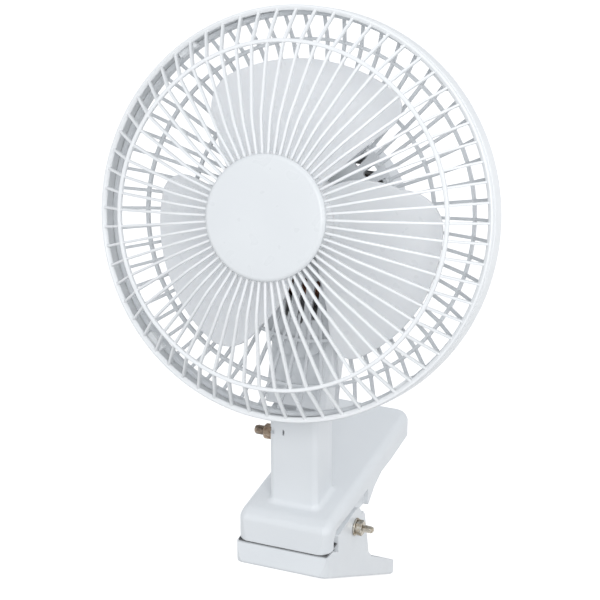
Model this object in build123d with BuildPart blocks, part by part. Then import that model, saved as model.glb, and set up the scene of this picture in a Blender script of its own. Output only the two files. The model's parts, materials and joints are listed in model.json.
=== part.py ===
from build123d import *
from math import cos, radians, sin
import os

os.makedirs("parts", exist_ok=True)

# ----------------------------------------------------------------------------
# Clip fan. Millimetres and degrees, +Z up, fan facing -Y at rest.
# The origin is on the upper jaw's underside, in the middle of the clamp's mouth.
# The head is drawn flat first: X across, Y up, Z forward along the fan's axis,
# zero at the middle of the rim. It is then leaned back onto its tilt pivot.
# ----------------------------------------------------------------------------

# Clearances and fits
running_gap = 0.05      # a turning shaft in its hole, per side
face_gap = 0.10         # flat faces that slide past each other
nest_gap = 0.20         # pieces that sit inside one another

# Pose of the head
lean_back = 18.5        # the head's lean at rest
head_reach = 43.2       # tilt pivot to the rim's middle plane
head_rise = 120.7       # tilt pivot up to the fan's axis

# Guard rim
rim_radius = 105.5
rim_wall = 2.2
rim_front = 8.0
rim_back = 7.6
band_front = 0.5        # the rim's smooth band ends here
set_in = 1.2            # the ring between the rib ends lies this much deeper
set_in_front = 5.4

# Front guard
front_ribs = 64
front_rib_width = 1.3
front_rib_deep = 2.4
cap_radius = 31.4
cap_face = 46.0
cap_thick = 3.6
kink_radius = 50.0
kink_depth = 40.6
ring_radius = 87.0
ring_depth = 24.4
ring_width = 2.0
ring_thick = 2.6

# Rear guard
rear_ribs = 60
rear_rib_width = 1.6
rear_rib_deep = 2.2
rear_ring_wide = 1.8
outer_ring_radius = 89.4
outer_ring_depth = -16.0
inner_ring_radius = 66.4
inner_ring_depth = -22.4
plate_radius = 46.0
plate_back = -26.2
plate_thick = 2.2

# Motor cover: a round pot with a chin that runs down into the neck
cover_radius = 43.0
cover_depth = 32.0
cover_wall = 2.0
cover_round = 7.0
chin_drop = 57.0
chin_radius = 17.0
neck_width = 34.0
neck_deep = 28.0
shoulder_reach = 18.5   # tilt pivot up to the neck's square shoulder
tongue_nose = 5.0       # radius of the tongue about the pivot
tongue_back = 11.0      # how far the tongue reaches behind the pivot

# Fan
blade_count = 3
blade_radius = 79.0
blade_thick = 1.8
blade_rise = 20.0       # how far one edge of a blade stands in front of the other
blade_span = 87.0       # angle covered by one blade
blade_middle = 90.5     # where the first blade points, counter-clockwise
blade_plane = -1.0
hub_radius = 21.0
hub_front = 13.0
hub_back = -13.0
shaft_radius = 1.6

# Motor
stator_wide = 52.0
stator_top = 23.0
stator_foot = -41.0
stator_thick = 14.0
stator_middle = -43.0
rotor_radius = 12.0
air_gap = 0.45
bolt_across = 21.0
bolt_up = 17.0
bolt_down = -36.0

# Clamp
jaw_width = 52.6
jaw_wall = 2.4
jaw_front = -10.8
jaw_nose = 14.3         # height of the front face
jaw_crown = 17.1        # height of the tray above the mouth's middle
jaw_slope = 0.055       # rise of the tray and the handle per mm of length
crown_y = -3.4          # where the nose's steeper slope ends
crown_round = 14.0
mouth_gap = 1.0
jaw_corner = 7.0
top_round = 4.6
handle_corner = 9.0
handle_end = 125.0
cheek_thick = 2.6
rib_thick = 1.6
hinge_y = 31.2
hinge_z = -4.0
ear_radius = 10.4
recess_front = -2.2     # the upper jaw's side steps in here for the ears
ear_front = 4.9
tail_slope = 28.2       # the lower jaw's slope down to the back
chin_front = -14.6
chin_low = -11.6
tail_end = 103.5
pad_length = 18.0
pad_width = 44.0
pad_thick = 1.6
pad_corner = 3.0

# Post
post_width = 27.2
post_deep = 25.4
post_front = 5.0
post_wall = 2.6
post_corner = 3.2
pivot_inset = 8.0       # front face to the tilt pivot
pivot_z = 55.3
slit_height = 60.3
rear_wall_top = 43.0
foot_flare = 3.0

# Bolts
clamp_bolt_radius = 2.1
clamp_nut_flats = 7.6
tilt_bolt_radius = 2.6
tilt_nut_flats = 7.2

# ----------------------------------------------------------------------------
# Sizes that follow from the ones above
# ----------------------------------------------------------------------------
rim_inner = rim_radius - rim_wall
pivot_y = post_front + pivot_inset
pivot_up = -head_rise
pivot_out = -head_reach
post_middle = post_front + post_deep / 2
post_inside = post_width / 2 - post_wall
post_top = pivot_z + shoulder_reach - 0.5
tongue_half = post_inside - face_gap
lean = radians(lean_back)
rim_y = pivot_y + head_rise * sin(lean) - head_reach * cos(lean)
rim_z = pivot_z + head_rise * cos(lean) + head_reach * sin(lean)
head_plane = Plane(
    origin=(0, rim_y, rim_z),
    x_dir=(1, 0, 0),
    z_dir=(0, -cos(lean), sin(lean)),
)
head_pose = head_plane.location
plate_front = plate_back + plate_thick
cover_front = plate_back - face_gap
cover_back = cover_front - cover_depth
half_jaw = jaw_width / 2
wall_line = half_jaw - cheek_thick - face_gap
slope = radians(tail_slope)
hinge = (hinge_y, hinge_z)
post_foot = jaw_crown - 0.1


def tray_height(y):
    return jaw_crown + jaw_slope * y


def tail_height(y):
    return chin_low - (y - chin_front) * sin(slope) / cos(slope)


tail_low = tail_height(tail_end)


# ----------------------------------------------------------------------------
# Front guard: one radial blade of three straight stretches, copied round,
# tied together by the rim, a ring and the plate behind the cap
# ----------------------------------------------------------------------------
hub_plate_top = cap_face - cap_thick - face_gap
hub_plate_radius = cap_radius - 1.0
rib_start = hub_plate_radius - 2
rib_top = ring_depth + 1.0
with BuildPart() as front_rib:
    with BuildSketch(Plane.XZ):
        with BuildLine():
            Polyline(
                (rib_start, hub_plate_top),
                (kink_radius, kink_depth),
                (ring_radius, rib_top),
                (rim_radius - 3.0, rim_front + 0.3),
                (rim_radius - 1.1, rim_front - 0.6),
                (rim_radius, rim_front - 2.6),
                (rim_radius, band_front - 0.2),
                (rim_inner + 0.4, band_front - 0.2),
                (rim_inner + 0.4, set_in_front - 1.0),
                (rim_inner - 0.8, set_in_front + 0.7),
                (ring_radius - 1.0, rib_top - front_rib_deep),
                (kink_radius - 0.6, kink_depth - front_rib_deep),
                (rib_start, hub_plate_top - front_rib_deep),
                close=True,
            )
        make_face()
    extrude(amount=front_rib_width / 2, both=True)

prong_radius = 20.0
prong_count = 3
prong_wide = 6.0
prong_thick = 1.8
hook_angles = (48, 132, 228, 312)
hook_wide = 11.0
rear_rim_front = -1.6
with BuildPart() as front_guard:
    with BuildSketch(Plane.XZ):
        with BuildLine():
            Polyline(
                (rim_inner, -rim_back),
                (rim_radius, -rim_back),
                (rim_radius, band_front),
                (rim_radius - set_in, band_front),
                (rim_radius - set_in, set_in_front),
                (rim_inner, set_in_front),
                close=True,
            )
        make_face()
        with Locations((hub_plate_radius / 2, hub_plate_top - front_rib_deep / 2)):
            Rectangle(hub_plate_radius, front_rib_deep)
    revolve(axis=Axis.Z)
    # the ring that ties the ribs: as many sides as ribs, a corner under each
    with BuildSketch(Plane.XY.offset(ring_depth - ring_thick / 2)):
        RegularPolygon(ring_radius + ring_width / 2, front_ribs)
        RegularPolygon(ring_radius - ring_width / 2, front_ribs, mode=Mode.SUBTRACT)
    extrude(amount=ring_thick)
    with PolarLocations(0, front_ribs):
        add(front_rib.part)
    # windows the cap's prongs snap through
    with BuildSketch(Plane.XY.offset(hub_plate_top)):
        with PolarLocations(prong_radius, prong_count, start_angle=90):
            Rectangle(prong_thick + 1.6, prong_wide + 1.0)
    extrude(amount=-front_rib_deep, mode=Mode.SUBTRACT)
    # catches inside the rim: a stop in front of the rear guard, a barb behind it
    with BuildSketch(Plane.XY.offset(rear_rim_front + nest_gap)):
        for angle in hook_angles:
            with Locations(Rotation(0, 0, angle) * Pos(rim_inner - 1.0, 0, 0)):
                Rectangle(3.2, hook_wide)
    extrude(amount=4.6)
    with BuildSketch(Plane.XY.offset(-rim_back)):
        for angle in hook_angles:
            with Locations(Rotation(0, 0, angle) * Pos(rim_inner + 1.1, 0, 0)):
                Rectangle(1.6, hook_wide - 3)
    extrude(amount=-1.7)
    with BuildSketch(Plane.XY.offset(-rim_back - nest_gap)):
        for angle in hook_angles:
            with Locations(Rotation(0, 0, angle) * Pos(rim_inner + 0.1, 0, 0)):
                Rectangle(2.6, hook_wide - 3)
    extrude(amount=-1.5)
front_guard.part.move(head_pose)
front_guard.part.label = "front_guard"
export_step(front_guard.part, "parts/front_guard.step")

# ----------------------------------------------------------------------------
# Cap over the guard's middle: a softly rounded disc on three barbed prongs
# ----------------------------------------------------------------------------
cap_back = cap_face - cap_thick
with BuildPart() as guard_cap:
    with BuildSketch(Plane.XZ):
        with BuildLine():
            Line((0, cap_back + 1.6), (cap_radius - 3.4, cap_back + 1.6))
            Line((cap_radius - 3.4, cap_back + 1.6), (cap_radius - 3.4, cap_back))
            Line((cap_radius - 3.4, cap_back), (cap_radius, cap_back))
            Line((cap_radius, cap_back), (cap_radius, cap_back + 1.4))
            ThreePointArc(
                (cap_radius, cap_back + 1.4),
                (cap_radius - 0.8, cap_back + 2.6),
                (cap_radius - 2.4, cap_back + 3.1),
            )
            Spline(
                (cap_radius - 2.4, cap_back + 3.1),
                (0, cap_face),
                tangents=((-1, 0.12), (-1, 0)),
            )
            Line((0, cap_face), (0, cap_back + 1.6))
        make_face()
    revolve(axis=Axis.Z)
    with BuildSketch(Plane.XY.offset(cap_back + 1.8)):
        with PolarLocations(prong_radius, prong_count, start_angle=90):
            Rectangle(prong_thick, prong_wide)
    extrude(amount=-(cap_thick + front_rib_deep))
    with BuildSketch(Plane.XY.offset(hub_plate_top - front_rib_deep - nest_gap)):
        with PolarLocations(prong_radius + 0.5, prong_count, start_angle=90):
            Rectangle(prong_thick + 0.9, prong_wide)
    extrude(amount=-1.5)
guard_cap.part.move(head_pose)
guard_cap.part.label = "guard_cap"
export_step(guard_cap.part, "parts/guard_cap.step")

# ----------------------------------------------------------------------------
# Rear guard: bars dished back from the rim, two rings, and a plate shaped
# like the motor cover with its cooling slots
# ----------------------------------------------------------------------------
rear_rim_outer = rim_inner - nest_gap
with BuildPart() as rear_rib:
    with BuildSketch(Plane.XZ):
        with BuildLine():
            Polyline(
                (plate_radius - 2, plate_front),
                (inner_ring_radius, inner_ring_depth + rear_rib_deep / 2),
                (outer_ring_radius, outer_ring_depth + rear_rib_deep / 2),
                (rear_rim_outer - 1, -rim_back + 1.6),
                (rear_rim_outer - 1, -rim_back),
                (outer_ring_radius, outer_ring_depth - rear_rib_deep / 2),
                (inner_ring_radius, inner_ring_depth - rear_rib_deep / 2),
                (plate_radius - 2, plate_back),
                close=True,
            )
        make_face()
    extrude(amount=rear_rib_width / 2, both=True)

slot_wide = 3.2
slot_pitch = 7.4
vent_ring = 39.5
bearing_hole = 7.2
with BuildPart() as rear_guard:
    with BuildSketch(Plane.XZ):
        with BuildLine():
            Polyline(
                (rear_rim_outer - 2.2, -rim_back),
                (rear_rim_outer, -rim_back),
                (rear_rim_outer, rear_rim_front),
                (rear_rim_outer - 1.4, rear_rim_front),
                (rear_rim_outer - 2.2, rear_rim_front - 0.8),
                close=True,
            )
        make_face()
    revolve(axis=Axis.Z)
    with BuildSketch(Plane.XY.offset(outer_ring_depth - rear_rib_deep / 2)):
        RegularPolygon(outer_ring_radius + rear_ring_wide / 2, rear_ribs)
        RegularPolygon(outer_ring_radius - rear_ring_wide / 2, rear_ribs, mode=Mode.SUBTRACT)
    extrude(amount=rear_rib_deep)
    with BuildSketch(Plane.XY.offset(inner_ring_depth - rear_rib_deep / 2)):
        RegularPolygon(inner_ring_radius + rear_ring_wide / 2, rear_ribs)
        RegularPolygon(inner_ring_radius - rear_ring_wide / 2, rear_ribs, mode=Mode.SUBTRACT)
    extrude(amount=rear_rib_deep)
    with PolarLocations(0, rear_ribs):
        add(rear_rib.part)
    with BuildSketch(Plane.XY.offset(plate_back)):
        Circle(plate_radius)
        with Locations((0, -chin_drop)):
            Circle(chin_radius + 2)
        make_hull()
    extrude(amount=plate_thick)
    # cooling slots: upright ones in the chin, short spokes round the top
    with BuildSketch(Plane.XY.offset(plate_front + 1)):
        for step in (-3, -2, -1, 0, 1, 2, 3):
            with Locations((step * slot_pitch, -46 + abs(step) * 1.2)):
                SlotOverall(24 - abs(step) * 3.4, slot_wide, rotation=90)
        with PolarLocations(vent_ring, 19, start_angle=-18, angular_range=216, endpoint=True):
            SlotOverall(11, slot_wide)
        Circle(bearing_hole)
    extrude(amount=-plate_thick - 2, mode=Mode.SUBTRACT)
    # four stand-offs carry the motor
    with BuildSketch(Plane.XY.offset(plate_back)):
        for x, y in ((-1, bolt_up), (1, bolt_up), (-1, bolt_down), (1, bolt_down)):
            with Locations((x * bolt_across, y)):
                Circle(3.4)
    extrude(amount=-5.0)
    with BuildSketch(Plane.XY.offset(plate_back - 5.0)):
        for x, y in ((-1, bolt_up), (1, bolt_up), (-1, bolt_down), (1, bolt_down)):
            with Locations((x * bolt_across, y)):
                Circle(1.5)
    extrude(amount=4.4, mode=Mode.SUBTRACT)
rear_guard.part.move(head_pose)
rear_guard.part.label = "rear_guard"
export_step(rear_guard.part, "parts/rear_guard.step")

# ----------------------------------------------------------------------------
# Motor cover, with the neck and the tongue that stands in the post
# ----------------------------------------------------------------------------
neck_top = chin_drop + 2
neck_foot = head_rise - shoulder_reach
neck_middle = cover_front - 2.0 - neck_deep / 2
inlet_y = -55.0
inlet_radius = 4.0
screw_out = cover_radius - 10
screw_spots = {
    "left": (-screw_out, 17),
    "right": (screw_out, 17),
    "low": (0, 7 - chin_drop - chin_radius),
}
with BuildPart() as cover_core:
    with BuildSketch(Plane.XY.offset(cover_front + 1)):
        Circle(cover_radius - cover_wall)
        with Locations((0, -chin_drop)):
            Circle(chin_radius - cover_wall)
        make_hull()
    extrude(amount=-(cover_depth + 1 - cover_wall))
    fillet(cover_core.faces().sort_by(Axis.Z)[0].edges(), radius=cover_round - cover_wall)
    with BuildSketch(Plane.XZ.offset(neck_top - 8)):
        with Locations((0, neck_middle)):
            RectangleRounded(neck_width - 5, neck_deep - 5, 2.5)
    extrude(amount=neck_foot - neck_top + 8 - 3)

with BuildPart() as motor_cover:
    with BuildSketch(Plane.XY.offset(cover_front)):
        Circle(cover_radius)
        with Locations((0, -chin_drop)):
            Circle(chin_radius)
        make_hull()
    extrude(amount=-cover_depth)
    fillet(motor_cover.faces().sort_by(Axis.Z)[0].edges(), radius=cover_round)
    with BuildSketch(Plane.XZ.offset(neck_top)):
        with Locations((0, neck_middle)):
            RectangleRounded(neck_width, neck_deep, 5)
    extrude(amount=neck_foot - neck_top)
    add(cover_core.part, mode=Mode.SUBTRACT)
    # tongue: rounded about the tilt pivot, widening up to the shoulder
    with BuildSketch(Plane.YZ):
        with Locations((pivot_up, pivot_out)):
            Circle(tongue_nose)
        with Locations((pivot_up + shoulder_reach, pivot_out + (tongue_nose - tongue_back) / 2)):
            Rectangle(2, tongue_nose + tongue_back)
        make_hull()
    extrude(amount=tongue_half, both=True)
    # bolt hole and the pocket that holds the bolt's head
    with BuildSketch(Plane.YZ.offset(-tongue_half)):
        with Locations((pivot_up, pivot_out)):
            Circle(tilt_bolt_radius + nest_gap / 4)
    extrude(amount=2 * tongue_half, mode=Mode.SUBTRACT)
    with BuildSketch(Plane.YZ.offset(tongue_half)):
        with Locations((pivot_up, pivot_out)):
            RegularPolygon(tilt_nut_flats / 2 + nest_gap, 6, major_radius=False)
    extrude(amount=-4.0, mode=Mode.SUBTRACT)
    # louvres in the back, cord inlet below them
    with BuildSketch(Plane.XY.offset(cover_back - 1)):
        with Locations((0, 2)):
            with GridLocations(0, 6.6, 1, 8):
                SlotOverall(44, 2.8)
        with Locations((0, inlet_y)):
            Circle(inlet_radius + nest_gap)
    extrude(amount=cover_wall + 2, mode=Mode.SUBTRACT)
    # pillars for the cover's screws, bored and recessed for the heads
    with BuildSketch(Plane.XY.offset(cover_front)):
        with Locations(*screw_spots.values()):
            Circle(3.4)
    extrude(amount=-(cover_depth - cover_wall))
    with BuildSketch(Plane.XY.offset(cover_back - 1)):
        with Locations(*screw_spots.values()):
            Circle(1.6)
    extrude(amount=cover_depth + 2, mode=Mode.SUBTRACT)
    with BuildSketch(Plane.XY.offset(cover_back - 1)):
        with Locations(*screw_spots.values()):
            Circle(3.0)
    extrude(amount=3.4, mode=Mode.SUBTRACT)
motor_cover.part.move(head_pose)
motor_cover.part.label = "motor_cover"
export_step(motor_cover.part, "parts/motor_cover.step")

# Screws that hold the cover to the rear guard's plate
for name, spot in screw_spots.items():
    with BuildPart() as cover_screw:
        with BuildSketch(Plane.XY.offset(cover_back + 2.4)):
            with Locations(spot):
                Circle(1.4)
        extrude(amount=cover_depth - 3)
        with BuildSketch(Plane.XY.offset(cover_back + 2.4)):
            with Locations(spot):
                Circle(2.7)
        extrude(amount=-1.8)
        with BuildSketch(Plane.XY.offset(cover_back + 0.6)):
            with Locations(spot):
                Rectangle(3.6, 0.8)
                Rectangle(0.8, 3.6)
        extrude(amount=1.0, mode=Mode.SUBTRACT)
    cover_screw.part.move(head_pose)
    cover_screw.part.label = "cover_screw_" + name
    export_step(cover_screw.part, "parts/cover_screw_" + name + ".step")

# Grommet in the cord inlet: flanges either side of the wall
with BuildPart() as cord_grommet:
    with BuildSketch(Plane.XZ):
        with BuildLine():
            Polyline(
                (2.6, -1.2),
                (inlet_radius + 1.4, -1.2),
                (inlet_radius + 1.4, -0.1),
                (inlet_radius, -0.1),
                (inlet_radius, cover_wall + 0.1),
                (inlet_radius + 1.0, cover_wall + 0.1),
                (inlet_radius + 0.6, cover_wall + 1.2),
                (2.6, cover_wall + 1.2),
                close=True,
            )
        make_face()
    revolve(axis=Axis.Z)
cord_grommet.part.move(head_pose * Pos(0, inlet_y, cover_back))
cord_grommet.part.label = "cord_grommet"
export_step(cord_grommet.part, "parts/cord_grommet.step")

# ----------------------------------------------------------------------------
# Motor: a laminated frame round the rotor, one coil on its lower leg,
# two pressed brackets with their bearings and four long screws
# ----------------------------------------------------------------------------
stator_front = stator_middle + stator_thick / 2
stator_rear = stator_middle - stator_thick / 2
stator_mid_y = (stator_top + stator_foot) / 2
leg_top = -30.0
with BuildPart() as stator_core:
    with BuildSketch(Plane.XY.offset(stator_rear)):
        with Locations((0, stator_mid_y)):
            RectangleRounded(stator_wide, stator_top - stator_foot, 4)
        Circle(rotor_radius + air_gap, mode=Mode.SUBTRACT)
        with Locations((0, leg_top + 5.5)):
            Rectangle(31, 11, mode=Mode.SUBTRACT)
        for x, y in ((-1, bolt_up), (1, bolt_up), (-1, bolt_down), (1, bolt_down)):
            with Locations((x * bolt_across, y)):
                Circle(1.6, mode=Mode.SUBTRACT)
        with Locations((0, stator_top)):
            Rectangle(22, 6, mode=Mode.SUBTRACT)
    extrude(amount=stator_thick)
stator_core.part.move(head_pose)
stator_core.part.label = "stator_core"
export_step(stator_core.part, "parts/stator_core.step")

leg_mid = (leg_top + stator_foot) / 2
leg_tall = leg_top - stator_foot
with BuildPart() as coil:
    with BuildSketch(Plane.YZ):
        with Locations((leg_mid, stator_middle)):
            RectangleRounded(leg_tall + 9.2, stator_thick + 9.2, 4)
            Rectangle(leg_tall + 0.6, stator_thick + 0.6, mode=Mode.SUBTRACT)
    extrude(amount=11.0, both=True)
    # end cheeks of the bobbin stand a little proud
    with BuildSketch(Plane.YZ.offset(11.0)):
        with Locations((leg_mid, stator_middle)):
            RectangleRounded(leg_tall + 11.2, stator_thick + 11.2, 2.5)
            Rectangle(leg_tall + 0.6, stator_thick + 0.6, mode=Mode.SUBTRACT)
    extrude(amount=1.4)
    with BuildSketch(Plane.YZ.offset(-11.0)):
        with Locations((leg_mid, stator_middle)):
            RectangleRounded(leg_tall + 11.2, stator_thick + 11.2, 2.5)
            Rectangle(leg_tall + 0.6, stator_thick + 0.6, mode=Mode.SUBTRACT)
    extrude(amount=-1.4)
coil.part.move(head_pose)
coil.part.label = "coil"
export_step(coil.part, "parts/coil.step")

bracket_plate = 1.6
bearing_radius = 5.0
bearing_long = 6.0
front_seat = plate_back - 5.0
rear_seat = stator_rear - 0.1
with BuildPart() as front_bracket:
    with BuildSketch(Plane.XY.offset(front_seat - bracket_plate)):
        with Locations((-bolt_across, bolt_up), (bolt_across, bolt_up), (-bolt_across, bolt_down)):
            Circle(4.0)
        with Locations((bolt_across, bolt_down)):
            Circle(4.0)
        make_hull()
        with Locations((0, -10)):
            Rectangle(28, 40, align=(Align.CENTER, Align.MAX), mode=Mode.SUBTRACT)
        Circle(bearing_radius + 0.05, mode=Mode.SUBTRACT)
        with Locations((-bolt_across, bolt_up), (bolt_across, bolt_up)):
            Circle(1.6, mode=Mode.SUBTRACT)
        with Locations((-bolt_across, bolt_down), (bolt_across, bolt_down)):
            Circle(1.6, mode=Mode.SUBTRACT)
    extrude(amount=bracket_plate)
    with BuildSketch(Plane.XY.offset(front_seat)):
        Circle(bearing_radius + 1.6)
        Circle(bearing_radius + 0.05, mode=Mode.SUBTRACT)
    extrude(amount=bearing_long - bracket_plate)
front_bracket.part.move(head_pose)
front_bracket.part.label = "front_bracket"
export_step(front_bracket.part, "parts/front_bracket.step")

with BuildPart() as rear_bracket:
    with BuildSketch(Plane.XY.offset(rear_seat)):
        with Locations((-bolt_across, bolt_up), (bolt_across, bolt_up), (0, -6)):
            Circle(5.0)
        make_hull()
        Circle(bearing_radius + 0.05, mode=Mode.SUBTRACT)
        with Locations((-bolt_across, bolt_up), (bolt_across, bolt_up)):
            Circle(1.6, mode=Mode.SUBTRACT)
    extrude(amount=-bracket_plate)
    with BuildSketch(Plane.XY.offset(rear_seat - bracket_plate)):
        Circle(bearing_radius + 1.4)
        Circle(bearing_radius + 0.05, mode=Mode.SUBTRACT)
    extrude(amount=-2.6)
rear_bracket.part.move(head_pose)
rear_bracket.part.label = "rear_bracket"
export_step(rear_bracket.part, "parts/rear_bracket.step")

for name, seat in {"front": front_seat - bracket_plate, "rear": rear_seat - 4.2}.items():
    length = bearing_long if name == "front" else 4.2
    with BuildPart() as bearing:
        with BuildSketch(Plane.XY.offset(seat)):
            Circle(bearing_radius)
            Circle(shaft_radius + running_gap, mode=Mode.SUBTRACT)
        extrude(amount=length)
        chamfer(bearing.edges().filter_by(GeomType.CIRCLE).group_by(SortBy.RADIUS)[-1], 0.4)
    bearing.part.move(head_pose)
    bearing.part.label = name + "_bearing"
    export_step(bearing.part, "parts/" + name + "_bearing.step")

motor_bolts = {
    "top_left": (-bolt_across, bolt_up),
    "top_right": (bolt_across, bolt_up),
    "low_left": (-bolt_across, bolt_down),
    "low_right": (bolt_across, bolt_down),
}
for name, spot in motor_bolts.items():
    under_head = rear_seat - bracket_plate if name.startswith("top") else stator_rear
    with BuildPart() as motor_bolt:
        with BuildSketch(Plane.XY.offset(under_head)):
            with Locations(spot):
                Circle(1.4)
        extrude(amount=plate_back - 1.6 - under_head)
        with BuildSketch(Plane.XY.offset(under_head)):
            with Locations(spot):
                Circle(2.6)
                Rectangle(0.8, 6, mode=Mode.SUBTRACT)
        extrude(amount=-1.6)
        with BuildSketch(Plane.XY.offset(under_head)):
            with Locations(spot):
                Circle(2.6)
        extrude(amount=-0.8)
    motor_bolt.part.move(head_pose)
    motor_bolt.part.label = "motor_bolt_" + name
    export_step(motor_bolt.part, "parts/motor_bolt_" + name + ".step")

# ----------------------------------------------------------------------------
# Rotor, shaft and fan
# ----------------------------------------------------------------------------
with BuildPart() as rotor_core:
    with BuildSketch(Plane.XY.offset(stator_rear)):
        Circle(rotor_radius)
        Circle(shaft_radius, mode=Mode.SUBTRACT)
        with PolarLocations(rotor_radius - 3.2, 10):
            Circle(1.0, mode=Mode.SUBTRACT)
    extrude(amount=stator_thick)
rotor_core.part.move(head_pose)
rotor_core.part.label = "rotor_core"
export_step(rotor_core.part, "parts/rotor_core.step")

with BuildPart() as motor_shaft:
    with BuildSketch(Plane.XY.offset(rear_seat - 3.8)):
        Circle(shaft_radius)
    extrude(amount=hub_front - 4 - rear_seat + 3.8)
    chamfer(motor_shaft.faces().sort_by(Axis.Z)[-1].edges(), 0.4)
motor_shaft.part.move(head_pose)
motor_shaft.part.label = "motor_shaft"
export_step(motor_shaft.part, "parts/motor_shaft.step")

# One blade: a cambered screw surface given thickness, trimmed to its outline
turns = [radians(blade_middle + blade_span * (k / 8 - 0.5) * 1.16) for k in range(9)]
radii = [hub_radius - 6 + (blade_radius + 8 - hub_radius) * k / 5 for k in range(6)]


def blade_height(angle, radius):
    across = (angle - radians(blade_middle)) / radians(blade_span)
    camber = 4.0 * (0.25 - across * across) * radius / blade_radius
    return blade_plane + blade_rise * across - camber


grid = [
    [Vector(r * cos(a), r * sin(a), blade_height(a, r)) for a in turns]
    for r in radii
]
sheet = Face.make_surface_from_array_of_points(grid)


def ray(radius, angle):
    return (radius * cos(radians(angle)), radius * sin(radians(angle)))


with BuildPart() as blade_stock:
    thicken(sheet, amount=blade_thick / 2, both=True)

half_span = blade_span / 2
edge_radius = 0.785 * blade_radius      # where a blade reaches its full width
waist_radius = hub_radius + 0.415 * (edge_radius - hub_radius)
tip_corner = 0.19 * blade_radius
root_radius = hub_radius - 2
with BuildPart() as blade:
    add(blade_stock.part)
    with BuildSketch(Plane.XY.offset(-30)) as outline:
        with BuildLine():
            lead_root = ray(root_radius, blade_middle - half_span + 14)
            lead_waist = ray(waist_radius, blade_middle - half_span + 9)
            lead_edge = ray(edge_radius, blade_middle - half_span)
            lead_tip = ray(blade_radius, blade_middle - half_span)
            tip = ray(blade_radius, blade_middle)
            trail_tip = ray(blade_radius, blade_middle + half_span)
            trail_edge = ray(edge_radius, blade_middle + half_span)
            trail_waist = ray(waist_radius, blade_middle + half_span - 16)
            trail_root = ray(root_radius, blade_middle + half_span - 22)
            Spline(lead_root, lead_waist, lead_edge)
            Line(lead_edge, lead_tip)
            ThreePointArc(lead_tip, tip, trail_tip)
            Line(trail_tip, trail_edge)
            Spline(trail_edge, trail_waist, trail_root)
            Line(trail_root, lead_root)
        make_face()
        fillet(outline.vertices().group_by(lambda v: round(v.X**2 + v.Y**2))[-1], radius=tip_corner)
    extrude(amount=60, mode=Mode.INTERSECT)

with BuildPart() as fan_blade:
    with BuildSketch(Plane.XZ):
        with BuildLine():
            Polyline(
                (shaft_radius, hub_front - 3.6),
                (hub_radius - 3.4, hub_front - 3.6),
                (hub_radius - 1.8, hub_front - 6),
                (hub_radius - 1.8, hub_back),
                (hub_radius, hub_back),
                (hub_radius, hub_front - 6),
                (hub_radius - 1.6, hub_front - 2.4),
                (hub_radius - 5.6, hub_front - 0.5),
                (0, hub_front),
                (0, hub_front - 3.0),
                (shaft_radius, hub_front - 3.0),
                close=True,
            )
        make_face()
        with Locations((shaft_radius + 1.6, (hub_front + hub_back) / 2 - 4)):
            Rectangle(3.2, hub_front - hub_back - 4)
    revolve(axis=Axis.Z)
    with PolarLocations(0, blade_count):
        add(blade.part)
    # stiffening webs inside the hub
    with BuildSketch(Plane.XY.offset(hub_front - 3.4)):
        with PolarLocations((hub_radius + 2) / 2, 6):
            Rectangle(hub_radius - 5, 1.2)
    extrude(amount=-12)
    with BuildSketch(Plane.XY.offset(hub_back - 12)):
        Circle(hub_radius - 1.8)
    extrude(amount=11.9, mode=Mode.SUBTRACT)
    with BuildSketch(Plane.XY.offset(hub_back - 12)):
        Circle(shaft_radius)
    extrude(amount=12 + hub_front - hub_back - 4, mode=Mode.SUBTRACT)
fan_blade.part.move(head_pose)
fan_blade.part.label = "fan_blade"
export_step(fan_blade.part, "parts/fan_blade.step")

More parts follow.
